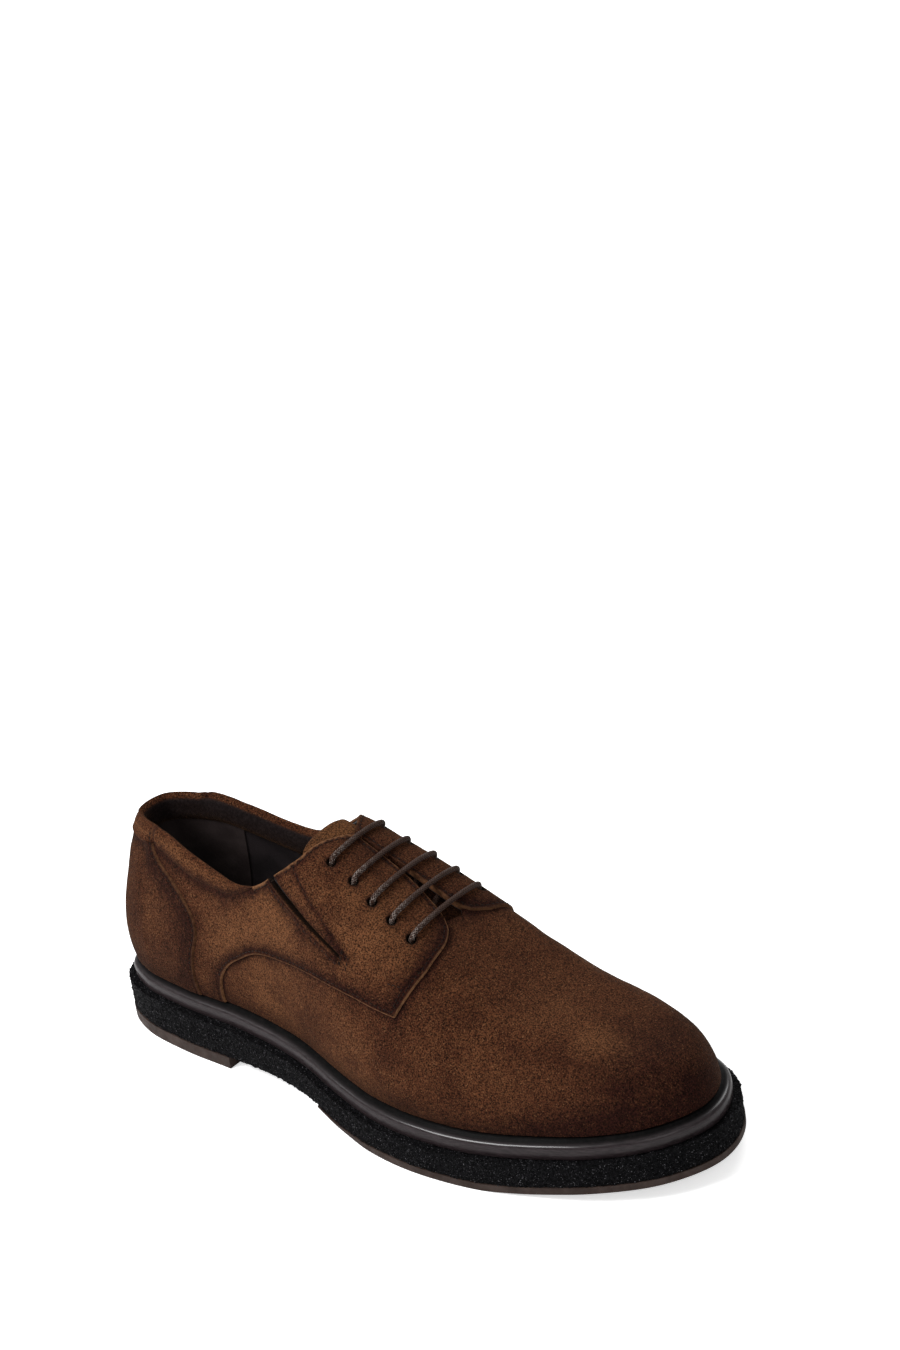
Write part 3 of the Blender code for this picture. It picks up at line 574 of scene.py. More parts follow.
# Section of the welt from its outer foot. inset: metres in from the sole's edge. rise: metres over its foot.
# edge: 1 on the trimmed face, 0 on the polished top
WELT_PROFILE = (
    (WELT_INSET + 0.0002, 0.0000, 1.0),
    (WELT_INSET, 0.0003, 1.0),
    (WELT_INSET - 0.0001, 0.0020, 1.0),
    (WELT_INSET - 0.0001, 0.0038, 1.0),
    (WELT_INSET + 0.0001, 0.0049, 1.0),
    (WELT_INSET + 0.0004, 0.0055, 0.95),
    (WELT_INSET + 0.0008, 0.0059, 0.80),
    (WELT_INSET + 0.0013, WELT_HEIGHT + 0.0001, 0.55),
    (WELT_INSET + 0.0019, WELT_HEIGHT + 0.0004, 0.25),
    (WELT_INSET + 0.0027, WELT_HEIGHT + 0.0008, 0.0),
    (FEATHER_INSET - 0.0004, WELT_HEIGHT + 0.0014, 0.0),
    (FEATHER_INSET + 0.0004, WELT_HEIGHT + 0.0018, 0.0),
    (WELT_INNER, WELT_HEIGHT + WELT_SLOPE_RISE, 0.0),
    (WELT_INNER, 0.0000, 0.0),
)


def welt_foot(x):
    return crepe_top(x) + CLEARANCE / 3


def feather(x):
    return crepe_top(x) + CLEARANCE + WELT_HEIGHT + WELT_SLOPE_RISE + CLEARANCE


rings, masks = [], []
for inset, rise, mask in WELT_PROFILE:
    loop = rim(inset, WELT_STEP)
    rings.append(np.column_stack([loop, welt_foot(loop[:, 0]) + rise]))
    masks += [mask] * len(loop)
wobble = [noise.noise(Vector((*p[:2] * 90, 3.0))) * WELT_WOBBLE for p in rings[0]]
for ring in rings[:WORN_ROWS]:
    out = np.stack([np.gradient(ring[:, 1]), -np.gradient(ring[:, 0])], 1)
    ring[:, :2] += out / np.hypot(*out.T)[:, None] * np.array(wobble)[:, None]
faces = bands(len(rings), len(loop), closed=True)


def attribute(tree, name):
    return add(tree, "Attribute", attribute_name=name).outputs["Fac"]


welt_leather, tree, shader = material("welt_leather", Specular_IOR_Level=0.06, Coat_Roughness=0.24)
trimmed = attribute(tree, "edge")
streak = add(tree, "Mapping", {"Vector": add(tree, "TexCoord").outputs["Object"], "Scale": (1, 1, 9)})
fibre = grain(tree, 260, 4, 0.6, streak.outputs[0])
face_tone = mixed(tree, spread(tree, fibre, 0.3, 0.75), (0.015, 0.0105, 0.0115), (0.034, 0.025, 0.027))
smear = spread(tree, grain(tree, 500, 3), 0.4, 0.7)
top_tone = mixed(tree, smear, (0.0012, 0.0011, 0.0011), (0.0035, 0.0028, 0.0028))
worn = spread(tree, fibre, 0.3, 0.75, 0.66, 0.80)
tone = mixed(tree, trimmed, top_tone, face_tone)
dress(tree, shader, tone, maths(tree, "MULTIPLY_ADD", trimmed, -0.34, worn), fibre, 0.00016, 0.5)
shoulder = maths(tree, "MULTIPLY", spread(tree, trimmed, 0.2, 0.6), spread(tree, trimmed, 0.99, 0.75))
polish = maths(tree, "MULTIPLY_ADD", trimmed, 0.40, 0.03)
tree.links.new(maths(tree, "MULTIPLY_ADD", shoulder, 0.55, polish), shader.inputs["Coat Weight"])
of_shoe(shape("welt_strip", np.vstack(rings), faces, welt_leather, {"edge": masks}), "welt")

# Last surface
# The upper's panels are cut flat and pulled over a last. The flat pattern gives each place of the upper by
# its girth from the ridge, and the last turns it into a point and a way out.
LAST_HEIGHT = 0.1145
WALL = 0.0024
PANEL = 0.0012
QUARTER_STEP = 0.0012
COUNTER_STEP = 0.0020
SEAM_STEP = 0.001

# Middle line of the last. along: share of SOLE_LENGTH. across: share of half the BALL_WIDTH
SPINE = ((0.112, 0.020), (0.296, 0.035), (0.493, 0.055), (0.658, 0.074), (0.822, 0.083))

# Ridge of the closed last over the middle line. height: share of LAST_HEIGHT
RIDGE = (
    (0.112, 0.961),
    (0.197, 0.996),
    (0.329, 1.000),
    (0.428, 0.963),
    (0.493, 0.893),
    (0.559, 0.808),
    (0.625, 0.709),
    (0.691, 0.607),
    (0.757, 0.537),
    (0.822, 0.496),
)

# Sections of the last. way: share of the way from heel back to toe tip along the feather edge.
# bulge, wall, shoulder and crown: width at four heights, as shares of the width at the feather edge
SECTIONS = (
    (0.00, 1.15, 0.70, 0.66, 0.48),
    (0.10, 1.15, 0.72, 0.61, 0.46),
    (0.22, 1.14, 0.86, 0.65, 0.46),
    (0.35, 1.12, 0.97, 0.72, 0.47),
    (0.48, 1.10, 0.95, 0.70, 0.46),
    (0.60, 1.075, 0.90, 0.63, 0.44),
    (0.72, 1.045, 0.87, 0.58, 0.42),
    (0.84, 1.005, 0.875, 0.67, 0.40),
    (1.00, 0.985, 0.89, 0.70, 0.40),
)
SECTION_HEIGHTS = (0.22, 0.60, 0.92, 1.00)
SHOULDER_LIFT = 0.6
LAST_ROWS = 97
NUDGE = 0.001


def spline_shares(v):
    """Shares of six control points in a clamped cubic curve at v."""
    knots = np.array([0, 0, 0, 0, 1 / 3, 2 / 3, 1, 1, 1, 1])
    v = np.clip(v, 0, 1 - 1e-9)
    shares = [((knots[i] <= v) & (v < knots[i + 1])).astype(float) for i in range(9)]
    for degree in (1, 2, 3):
        raised = []
        for i in range(9 - degree):
            before = knots[i + degree] - knots[i]
            after = knots[i + degree + 1] - knots[i + 1]
            share = 0 * v
            if before > 0:
                share = share + (v - knots[i]) / before * shares[i]
            if after > 0:
                share = share + (knots[i + degree + 1] - v) / after * shares[i + 1]
            raised.append(share)
        shares = raised
    return shares


class Last:
    """The surface of the last: u runs round the feather edge, v from the feather edge up to the ridge."""

    def __init__(self):
        self.edge = outline(FEATHER_INSET)
        self.tip = int(np.argmax(self.edge[:, 0]))
        step = np.hypot(*np.diff(np.vstack([self.edge, self.edge[:1]]), axis=0).T)
        run = np.r_[0, np.cumsum(step)]
        after = np.arange(len(self.edge)) > self.tip
        self.way = np.where(after, (run[-1] - run[:-1]) / (run[-1] - run[self.tip]), run[:-1] / run[self.tip])
        self.heel = SPINE[0][0] * SOLE_LENGTH
        self.toe = SPINE[-1][0] * SOLE_LENGTH
        self.rows = np.linspace(0, 1, LAST_ROWS)
        u, v = np.meshgrid(np.arange(len(self.edge)) / len(self.edge), self.rows, indexing="ij")
        self.grid = self.point(u, v)
        self.girth = np.zeros(self.grid.shape[:2])
        steps = np.linalg.norm(np.diff(self.grid, axis=1), axis=2)
        self.girth[:, :-1] = np.cumsum(steps[:, ::-1], axis=1)[:, ::-1]
        self.base, self.ray = self.column(u[:, 0])[:2]

    def spine(self, x):
        return BALL_WIDTH / 2 * smooth(SPINE, x / SOLE_LENGTH)

    def ridge(self, x):
        return LAST_HEIGHT * smooth(RIDGE, x / SOLE_LENGTH)

    def between(self, u):
        """The two neighbouring columns of u, and the share of the second."""
        place = (np.asarray(u, float) % 1.0) * len(self.edge)
        i = place.astype(int) % len(self.edge)
        return i, (i + 1) % len(self.edge), place - np.floor(place)

    def column(self, u):
        """Base of a column on the middle line, its direction, its reach, its way to the toe and its foot."""
        i, j, t = self.between(u)
        foot = self.edge[i] * (1 - t[..., None]) + self.edge[j] * t[..., None]
        way = self.way[i] * (1 - t) + self.way[j] * t
        x = np.clip(foot[..., 0], self.heel, self.toe)
        base = np.stack([x, self.spine(x)], -1)
        ray = foot - base
        reach = np.hypot(ray[..., 0], ray[..., 1])
        return base, ray / reach[..., None], reach, way, foot

    def point(self, u, v):
        u, v = np.broadcast_arrays(np.asarray(u, float), np.asarray(v, float))
        base, ray, reach, way, foot = self.column(u)
        low = feather(foot[..., 0])
        high = self.ridge(base[..., 0])
        slope = (self.ridge(base[..., 0] + NUDGE) - self.ridge(base[..., 0] - NUDGE)) / (2 * NUDGE)
        end = self.toe - 2 * NUDGE
        slope = np.where(base[..., 0] > end, (self.ridge(end) - self.ridge(end - NUDGE)) / NUDGE, slope)
        lean = slope * ray[..., 0] * reach
        bulge, wall, shoulder, crown = (smooth(SECTIONS, way, k) for k in (1, 2, 3, 4))
        h1, h2, h3, h4 = SECTION_HEIGHTS
        across = (1 + 0 * way, bulge, wall, shoulder, crown, 0 * way)
        up = (0, h1, h2, h3, h4, 1)
        lift = (0, 0, 0, SHOULDER_LIFT * shoulder, crown, 0)
        shares = spline_shares(v)
        wide = sum(s * a for s, a in zip(shares, across)) * reach
        tall = sum(s * (low + h * (high - low) + k * lean) for s, h, k in zip(shares, up, lift))
        return np.stack([base[..., 0] + ray[..., 0] * wide, base[..., 1] + ray[..., 1] * wide, tall], -1)

    def profile(self, u, v):
        """Points up one column, at each v."""
        return self.point(np.full(len(v), u), v)

    def find_column(self, at, side):
        """u of the column whose foot is at x = at, on side -1 (outer) or +1 (inner)."""
        count = len(self.edge)
        if side < 0:
            return np.interp(at, self.edge[: self.tip + 1, 0], np.arange(self.tip + 1)) / count
        inner = np.vstack([self.edge[self.tip :], self.edge[:1]])
        return np.interp(at, inner[::-1, 0], np.arange(count, self.tip - 1, -1)) / count

    def to_pattern(self, u, v):
        """Flat pattern place of a surface place: its distance over the surface from the ridge."""
        base, ray = self.column(u)[:2]
        i, j, t = self.between(u)
        girth = [
            np.interp(c, self.rows, self.girth[a]) * (1 - s) + np.interp(c, self.rows, self.girth[b]) * s
            for a, b, s, c in zip(i, j, t, v)
        ]
        girth = np.array(girth)
        return np.stack([base[..., 0] + ray[..., 0] * girth, ray[..., 1] * girth], -1)

    def from_pattern(self, flat):
        """Surface place (u, v) of points of the flat pattern."""
        x = np.clip(flat[:, 0], self.heel, self.toe)
        away = flat - np.stack([x, np.zeros(len(x))], 1)
        girth = np.hypot(*away.T)
        angle = np.arctan2(self.ray[:, 1], self.ray[:, 0])
        own = np.arctan2(away[:, 1], away[:, 0])
        u = np.zeros(len(flat))
        for side in (-1, 1):
            mine = (away[:, 1] < 0) if side < 0 else (away[:, 1] >= 0)
            u[mine] = self.find_column(x[mine], side)
        for fan, end in ((away[:, 0] < -1e-9, self.heel), (away[:, 0] > 1e-9, self.toe)):
            if not fan.any():
                continue
            near = np.where(self.base[:, 0] == end)[0]
            if end == self.heel:
                turn = np.where(angle[near] > 0, angle[near] - 2 * np.pi, angle[near])
                mine = np.where(own[fan] > 0, own[fan] - 2 * np.pi, own[fan])
                near = np.where(near > len(self.edge) / 2, near - len(self.edge), near)
            else:
                turn, mine = angle[near], own[fan]
            order = np.argsort(turn)
            u[fan] = np.interp(mine, turn[order], near[order]) / len(self.edge) % 1.0
        i, j, t = self.between(u)
        v = [
            np.interp(-g, -self.girth[a], self.rows) * (1 - s) + np.interp(-g, -self.girth[b], self.rows) * s
            for g, a, b, s in zip(girth, i, j, t)
        ]
        return u, np.array(v)

    def normal(self, u, v):
        step = 2 * NUDGE
        run = self.point(u + step, v) - self.point(u - step, v)
        rise = self.point(u, np.clip(v + step, 0, 1)) - self.point(u, np.clip(v - step, 0, 1))
        out = np.cross(run, rise)
        out /= np.linalg.norm(out, axis=-1)[..., None] + 1e-12
        return out

    def off(self, flat, lift):
        """Points above pattern places, off the surface by lift."""
        u, v = self.from_pattern(flat)
        out = self.normal(u, np.minimum(v, 0.985))
        out[:, 2] *= ease(v, 0, 0.08)
        out /= np.linalg.norm(out, axis=1)[:, None]
        return self.point(u, v) + out * np.reshape(lift, (-1, 1))

    def by_height(self, table, side, step=SEAM_STEP):
        """Pattern line of a seam given from the side."""
        flat = []
        for along, height in even(np.array(table) * (SOLE_LENGTH, LAST_HEIGHT), step):
            u = float(self.find_column(max(along, self.heel), side))
            path = self.profile(u, self.rows)
            if height > path[0, 2]:
                v = np.interp(height, np.maximum.accumulate(path[:, 2]), self.rows)
                flat.append(self.to_pattern(np.array([u]), np.array([v]))[0])
        return clean(flat)

    def by_width(self, table, side):
        """Pattern line of an edge given from above."""
        column = 1 if side < 0 else 2
        rows = [(row[0] * SOLE_LENGTH, row[column] * BALL_WIDTH / 2) for row in table]
        return clean([self.above(along, across) for along, across in even(rows, SEAM_STEP)])

    def above(self, along, across):
        """Pattern place of the point seen at (along, across) from above."""
        side = -1 if across < self.spine(along) else 1
        u = float(self.find_column(along, side))
        path = self.profile(u, self.rows)
        reach = np.maximum.accumulate(np.abs(path[::-1, 1] - self.spine(along)))
        v = np.interp(abs(across - self.spine(along)), reach, self.rows[::-1])
        return self.to_pattern(np.array([u]), np.array([v]))[0]

    def round_heel(self, table):
        """Pattern line of a seam that goes round the heel from the outer side to the inner side."""
        flat = []
        last_along = table[-1][0] * SOLE_LENGTH
        outer = float(self.find_column(last_along, -1))
        inner = float(self.find_column(last_along, 1)) - 1
        for u in np.linspace(outer, inner, round(2 * last_along / SEAM_STEP)):
            path = self.profile(u, self.rows)
            v = self.rows[int(np.argmax(path[:, 2] >= LAST_HEIGHT * smooth(table, path[:, 0] / SOLE_LENGTH)))]
            fine = np.linspace(max(v - self.rows[1], 0), v, 9)
            path = self.profile(u, fine)
            v = np.interp(0, path[:, 2] - LAST_HEIGHT * smooth(table, path[:, 0] / SOLE_LENGTH), fine)
            flat.append(self.to_pattern(np.array([u]), np.array([v]))[0])
        return np.array(flat)


def clean(flat):
    """Drops points that fall on the one before."""
    kept = [flat[0]]
    for point in flat[1:]:
        if np.hypot(*(point - kept[-1])) > 1e-4:
            kept.append(point)
    return np.array(kept)


def beside(line, distance):
    """A pattern line moved sideways, to its left going forward."""
    way = np.gradient(line, axis=0)
    way /= np.hypot(*way.T)[:, None] + 1e-12
    return line + distance * np.stack([-way[:, 1], way[:, 0]], 1)


def inside(polygon, points):
    """Which points lie in a closed polygon."""
    found = np.zeros(len(points), bool)
    low, high = polygon.min(0), polygon.max(0)
    mine = np.where(((points >= low) & (points <= high)).all(1))[0]
    x, y = points[mine].T
    odd = np.zeros(len(mine), bool)
    for (ax, ay), (bx, by) in zip(polygon, np.roll(polygon, -1, 0)):
        if ay == by:
            continue
        odd ^= ((ay > y) != (by > y)) & (x < ax + (y - ay) / (by - ay) * (bx - ax))
    found[mine] = odd
    return found


last = Last()

# Seams from the side. along: share of SOLE_LENGTH. height: share of LAST_HEIGHT
TOPLINE = (
    (0.020, 0.836),
    (0.066, 0.848),
    (0.132, 0.850),
    (0.197, 0.812),
    (0.247, 0.783),
    (0.290, 0.768),
    (0.329, 0.788),
    (0.362, 0.838),
    (0.395, 0.900),
    (0.425, 0.958),
)
COLLAR_SEAM = (
    (0.1125, 0.797),
    (0.136, 0.772),
    (0.170, 0.748),
    (0.228, 0.715),
    (0.270, 0.715),
    (0.301, 0.738),
    (0.335, 0.790),
    (0.360, 0.850),
)
COUNTER_SEAM = (
    (0.131, 0.885),
    (0.124, 0.825),
    (0.123, 0.780),
    (0.134, 0.735),
    (0.168, 0.678),
    (0.204, 0.590),
    (0.211, 0.548),
    (0.209, 0.497),
    (0.201, 0.437),
    (0.194, 0.335),
    (0.197, 0.200),
)
QUARTER_CORNER = ((0.629, 0.672), (0.617, 0.607), (0.603, 0.531))
QUARTER_LOW_SEAM = (
    (0.603, 0.531),
    (0.566, 0.548),
    (0.530, 0.564),
    (0.454, 0.577),
    (0.389, 0.562),
    (0.345, 0.548),
    (0.322, 0.528),
    (0.298, 0.491),
    (0.270, 0.440),
    (0.249, 0.370),
    (0.240, 0.280),
    (0.240, 0.200),
)
SLIT = ((0.362, 0.862), (0.390, 0.815), (0.507, 0.683))

# Edges seen from above, from the top of the throat forward. along: share of SOLE_LENGTH.
# outer and inner: share of half the BALL_WIDTH
FACING = (
    (0.445, 0.022, 0.037),
    (0.484, 0.018, 0.041),
    (0.520, 0.008, 0.054),
    (0.552, -0.016, 0.066),
    (0.576, -0.044, 0.076),
    (0.592, -0.065, 0.085),
    (0.604, -0.096, 0.104),
)
QUARTER_FRONT = (
    (0.611, -0.120, 0.130),
    (0.619, -0.172, 0.200),
    (0.628, -0.300, 0.320),
)

# Eyelets. along: share of SOLE_LENGTH. outer and inner: share of half the BALL_WIDTH
EYELETS = (
    (0.454, -0.300, 0.278),
    (0.492, -0.322, 0.300),
    (0.527, -0.368, 0.346),
    (0.560, -0.389, 0.367),
    (0.592, -0.404, 0.381),
)
SLIT_GAPE = 0.0030
SLIT_NARROW = 0.0009
GORE_TOP = 0.398
EYELET_DIAMETER = 0.0037
EYELET_SIDES = 28
NOSE_LENGTH = 0.0020
FEATHER_STEP = 0.0016
TOP_STEP = 0.0011
QUARTER_SEAM_STEP = 0.0010
SLIT_STEP = 0.0008
PAST_FEATHER = 0.01

feather_line = last.to_pattern(np.arange(DENSE) / DENSE, np.zeros(DENSE))
feather_line = even(feather_line[::4], FEATHER_STEP, closed=True)
top = last.round_heel(TOPLINE)
top = even(top[:: len(top) // 60], TOP_STEP)
facings = [last.by_width(FACING, side) for side in (-1, 1)]
throat_end = FACING[-1][0] * SOLE_LENGTH
nose = last.above(throat_end + NOSE_LENGTH, last.spine(throat_end))
eyelet_pairs = [[last.above(row[0] * SOLE_LENGTH, y * BALL_WIDTH / 2) for y in row[1:]] for row in EYELETS]

# Width of the padded collar below the topline, at each place of the topline
HEEL_COLLAR = 0.0090
HEEL_COLLAR_END = 0.052
HEEL_COLLAR_BLEND = 0.024
COLLAR_SEARCH = np.linspace(0, 0.018, 60)
LEAST_COLLAR = 0.0006
TUCK = 0.0012
u, v = last.from_pattern(top)
top_ray = last.column(u)[1]
top_x = last.point(u, v)[:, 0]
collar_width = np.zeros(len(top))
for k, place in enumerate(top):
    deep = last.off(place + top_ray[k] * COLLAR_SEARCH[:, None], np.zeros(len(COLLAR_SEARCH)))
    seam_height = LAST_HEIGHT * smooth(COLLAR_SEAM, deep[:, 0] / SOLE_LENGTH)
    collar_width[k] = np.interp(0, seam_height - deep[:, 2], COLLAR_SEARCH)
at_heel = ease(HEEL_COLLAR_END - top_x, 0, HEEL_COLLAR_BLEND)
collar_width = collar_width * (1 - at_heel) + HEEL_COLLAR * at_heel
collar_width[top_x > COLLAR_SEAM[-1][0] * SOLE_LENGTH] = 0
kernel = np.hanning(9) / np.hanning(9).sum()
collar_width = np.convolve(np.pad(collar_width, 4, mode="edge"), kernel, "valid")
has_collar = np.where(collar_width > LEAST_COLLAR)[0]
has_collar = np.arange(has_collar[0], has_collar[-1] + 1)
collar_foot = top + top_ray * np.maximum(collar_width - TUCK, 0)[:, None]

opening = clean(np.vstack([collar_foot[::-1], facings[0], nose[None], facings[1][::-1]]))
far = 2 * SOLE_LENGTH
quarter_seams, quarters, counter_seams, counters = [], [], [], []
slits, slots, gore_slots = [], [], []
for side in (-1, 1):
    front = last.by_width(FACING[-1:] + QUARTER_FRONT, side)
    corner = last.by_height(QUARTER_CORNER, side)[:-1]
    low = last.by_height(QUARTER_LOW_SEAM, side)
    ahead = clean(np.vstack([front, corner]))[::-4][::-1]
    seam = np.vstack([even(ahead, QUARTER_SEAM_STEP)[:-1], even(low[::4], QUARTER_SEAM_STEP)])
    seam = np.vstack([seam, seam[-1:] + (0, side * PAST_FEATHER)])
    quarter_seams.append(seam)
    behind = [(seam[-1, 0], side * far), (-far, side * far), (-far, 0), (seam[0, 0], 0)]
    quarters.append(np.vstack([seam, behind]))
    counter = last.by_height(COUNTER_SEAM, side)
    counter = np.vstack([counter, counter[-1:] + (0, side * PAST_FEATHER)])
    counter_seams.append(counter)
    counters.append(np.vstack([counter, [(counter[-1, 0], side * far), (-far, side * far)]]))
    slit = last.by_height(SLIT, side, SLIT_STEP)
    slits.append(slit)
    gape = np.linspace(SLIT_GAPE / 2, SLIT_NARROW / 2, len(slit))[:, None]
    slots.append(np.vstack([beside(slit, gape), beside(slit, -gape)[::-1]]))
    low = slit[:, 0] > GORE_TOP * SOLE_LENGTH
    gore_slots.append(np.vstack([beside(slit, gape)[low], beside(slit, -gape)[low][::-1]]))
counter_shape = np.vstack([counters[0], counters[1][::-1]])
turn = np.linspace(0, 2 * np.pi, EYELET_SIDES, endpoint=False)
ring = EYELET_DIAMETER / 2 * np.stack([np.cos(turn), np.sin(turn)], 1)
holes = [place + ring for pair in eyelet_pairs for place in pair]

# Flat mosaic of every panel
# The panels are cut from one flat net of small triangles that follows every seam, slit and eyelet, with rows
# of points beside the raised edges so that they round over.
PATTERN_STEP = 0.00135
EDGE_ROWS = (0.0003, 0.0007, 0.0011, 0.0015, 0.0019, 0.0025)
ROW_GAP = 0.00038
ROW_GAP_TO_CUT = 0.0004


def closed_line(loop):
    return np.vstack([loop, loop[:1]])


cuts = [(loop, True) for loop in [feather_line, opening] + slots + holes]
cuts += [(seam, False) for seam in quarter_seams + counter_seams]
near = tree_of(np.vstack([line for line, closed in cuts]))
taken = {}


def lone(place):
    """Keeps a place unless another kept place is within ROW_GAP."""
    i, j = (int(np.floor(p / ROW_GAP)) for p in place)
    for cell in [(i + a, j + b) for a in (-1, 0, 1) for b in (-1, 0, 1)]:
        for x, y in taken.get(cell, ()):
            if (x - place[0]) ** 2 + (y - place[1]) ** 2 < ROW_GAP * ROW_GAP:
                return False
    taken.setdefault((i, j), []).append(place)
    return True


row_points = []
for line in quarter_seams + counter_seams + facings + [closed_line(loop) for loop in holes + slots]:
    for row in EDGE_ROWS:
        for way in (-1, 1):
            for p in beside(line, way * row):
                if near.find((*p, 0))[2] > 0.7 * min(row, ROW_GAP_TO_CUT) and lone(p):
                    row_points.append(tuple(p))
pattern, triangles = net(cuts, row_points, PATTERN_STEP, 0.55, 0, 2e-5)[:2]
centres = pattern[triangles].mean(1)
cut_away = ~inside(feather_line, centres)
for polygon in [opening] + slots + holes:
    cut_away |= inside(polygon, centres)
panel_of = np.zeros(len(triangles), int)
for kind, polygon in enumerate(quarters + [counter_shape], 1):
    panel_of[inside(polygon, centres)] = kind
panel_of[cut_away] = -1


def skin(flat, faces, over, under):
    """Points and faces of a closed sheet over pattern places, top face first, and the places in use."""
    used, faces = np.unique(faces, return_inverse=True)
    faces = faces.reshape(-1, 3)
    places = flat[used]
    count = len(used)
    made = np.vstack([last.off(places, over(places)), last.off(places, under(places))])
    ends = np.concatenate([faces[:, [0, 1]], faces[:, [1, 2]], faces[:, [2, 0]]])
    code = ends[:, 0] * count + ends[:, 1]
    border = ends[~np.isin(code, ends[:, 1] * count + ends[:, 0])]
    sides = [(b, a, a + count, b + count) for a, b in border]
    lids = [tuple(f) for f in faces] + [tuple(f[::-1] + count) for f in faces]
    return made, lids + sides, places


# Suede panels
# Brown suede, nap side out: the vamp lies lowest, the two quarters with their facings lap over it and the
# counter laps over both round the heel. Cut edges are raw and paler. The nap is darker where it is pressed
# down along seams and over the toe, and the colour is darker in a band above the welt and round the
# eyelets. Painted shade darkens the suede beside each lapping edge, below the collar's roll, in the troughs
# beside the slits, stitches and vee seams, over the toe, on the inner quarter and on the counter, and
# paints the slits and eyelet holes nearly black; painted highlights pale the toe's top.
EDGE_ROUND = 0.00045
THROAT_STEP = 0.0008
STITCH_INSET = 0.0016
STITCH_TROUGH = 0.00022
TROUGH_WIDTH = 0.0006
STRIP_WIDTH = 0.0042
RAW_WIDTH = 0.00044
WAVE_FADE = 0.006
COUNTER_DIP = 0.0011
VEE_TROUGH = 0.00030
VEE_RIDGE = 0.00025

# Seam that holds the front of the gore. along: share of SOLE_LENGTH. height: share of LAST_HEIGHT
VEE_SEAM = ((0.404, 0.902), (0.436, 0.838), (0.480, 0.759), (0.522, 0.676))


def sampled(lines, step=0.00015):
    """A search tree of points close together along lines."""
    places = []
    for line in lines:
        for a, b in zip(line, line[1:]):
            count = max(1, int(np.hypot(*(b - a)) / step))
            places += [a + (b - a) * k / count for k in range(count)]
        places.append(line[-1])
    return tree_of(places)


def distance(tree, flat):
    return np.array([tree.find((x, y, 0))[2] for x, y in flat])


def along_line(line, flat):
    """Signed distance of places from a line, above 0 to its left, and their share of the way along it."""
    run = np.r_[0, np.cumsum(np.hypot(*np.diff(line, axis=0).T))]
    stops = np.linspace(0, run[-1], max(8, int(run[-1] / 0.00015)))
    dense = np.stack([np.interp(stops, run, line[:, 0]), np.interp(stops, run, line[:, 1])], 1)
    tree = tree_of(dense)
    way = np.gradient(dense, axis=0)
    found = [tree.find((x, y, 0)) for x, y in flat]
    index = np.array([hit[1] for hit in found])
    gap = flat - dense[index]
    side = np.sign(way[index, 0] * gap[:, 1] - way[index, 1] * gap[:, 0])
    return side * np.array([hit[2] for hit in found]), index / (len(dense) - 1)


top_fronts = [top[: has_collar[0] + 2][::-1], top[has_collar[-1] - 1 :]]
throat_edges = [even(clean(np.vstack([top_fronts[k], facings[k]]))[::3], THROAT_STEP) for k in (0, 1)]
raised = {
    0: facings + [nose[None] + [(0, -0.0005), (0, 0.0005)]],
    1: [quarter_seams[0], throat_edges[0]],
    2: [quarter_seams[1], throat_edges[1]],
    3: counter_seams,
}
vees = [last.by_height(VEE_SEAM, side) for side in (-1, 1)]
seam_rows = {
    1: [beside(quarter_seams[0], -STITCH_INSET), beside(throat_edges[0], -STITCH_INSET)],
    2: [beside(quarter_seams[1], STITCH_INSET), beside(throat_edges[1], STITCH_INSET)],
    3: [beside(counter_seams[0], -STITCH_INSET), beside(counter_seams[1], STITCH_INSET)],
}
near_feather = sampled([closed_line(feather_line)], 0.0004)
near_quarter = sampled(quarter_seams, 0.0003)
near_counter = sampled(counter_seams, 0.0003)
near_collar = sampled([collar_foot[has_collar]], 0.0003)
near_cuts = sampled([closed_line(loop) for loop in holes + slots])
near_holes = sampled([closed_line(loop) for loop in holes])
near_throat = sampled(throat_edges)
near_nose = sampled([nose[None] + [(0, -0.004), (0, 0.004)]])
near_vee = sampled(vees, 0.0002)

# Panels. step: metres over the last. kind: its number in panel_of. raw: share of the paler raw edge that
# shows, less on the inner quarter as painted shade
PANELS = (
    ("vamp_panel", 0.0, 0, 0.0),
    ("quarter_panel_outer", QUARTER_STEP, 1, 1.0),
    ("quarter_panel_inner", QUARTER_STEP, 2, 0.45),
    ("counter_panel", COUNTER_STEP, 3, 0.45),
)

# Soft waves and creases of the suede. along and across: pattern place in metres. turn: degrees from the
# sole's length. long and wide: half sizes in metres. deep: metres, below 0 for a trough
CREASES = (
    (0.196, -0.040, 70, 0.016, 0.0035, -0.00045),
    (0.205, -0.038, 72, 0.014, 0.0032, 0.00035),
    (0.190, -0.075, 25, 0.020, 0.0060, -0.00050),
    (0.160, -0.095, 10, 0.022, 0.0070, 0.00040),
    (0.200, 0.042, -70, 0.016, 0.0035, -0.00040),
    (0.100, -0.070, 40, 0.018, 0.0060, -0.00045),
    (0.090, -0.050, 55, 0.015, 0.0050, 0.00035),
    (0.060, -0.045, 60, 0.012, 0.0040, -0.00035),
    (0.230, -0.020, 20, 0.020, 0.0080, -0.00030),
)

# Ridges beside each slit. behind: metres behind it, below 0 in front. wide: half size. high: metres
SLIT_RIDGES = (
    (0.0016, 0.0007, 0.00055),
    (0.0032, 0.0006, 0.00045),
    (STRIP_WIDTH, 0.0006, -0.00035),
    (-0.0035, 0.003, 0.0004),
)
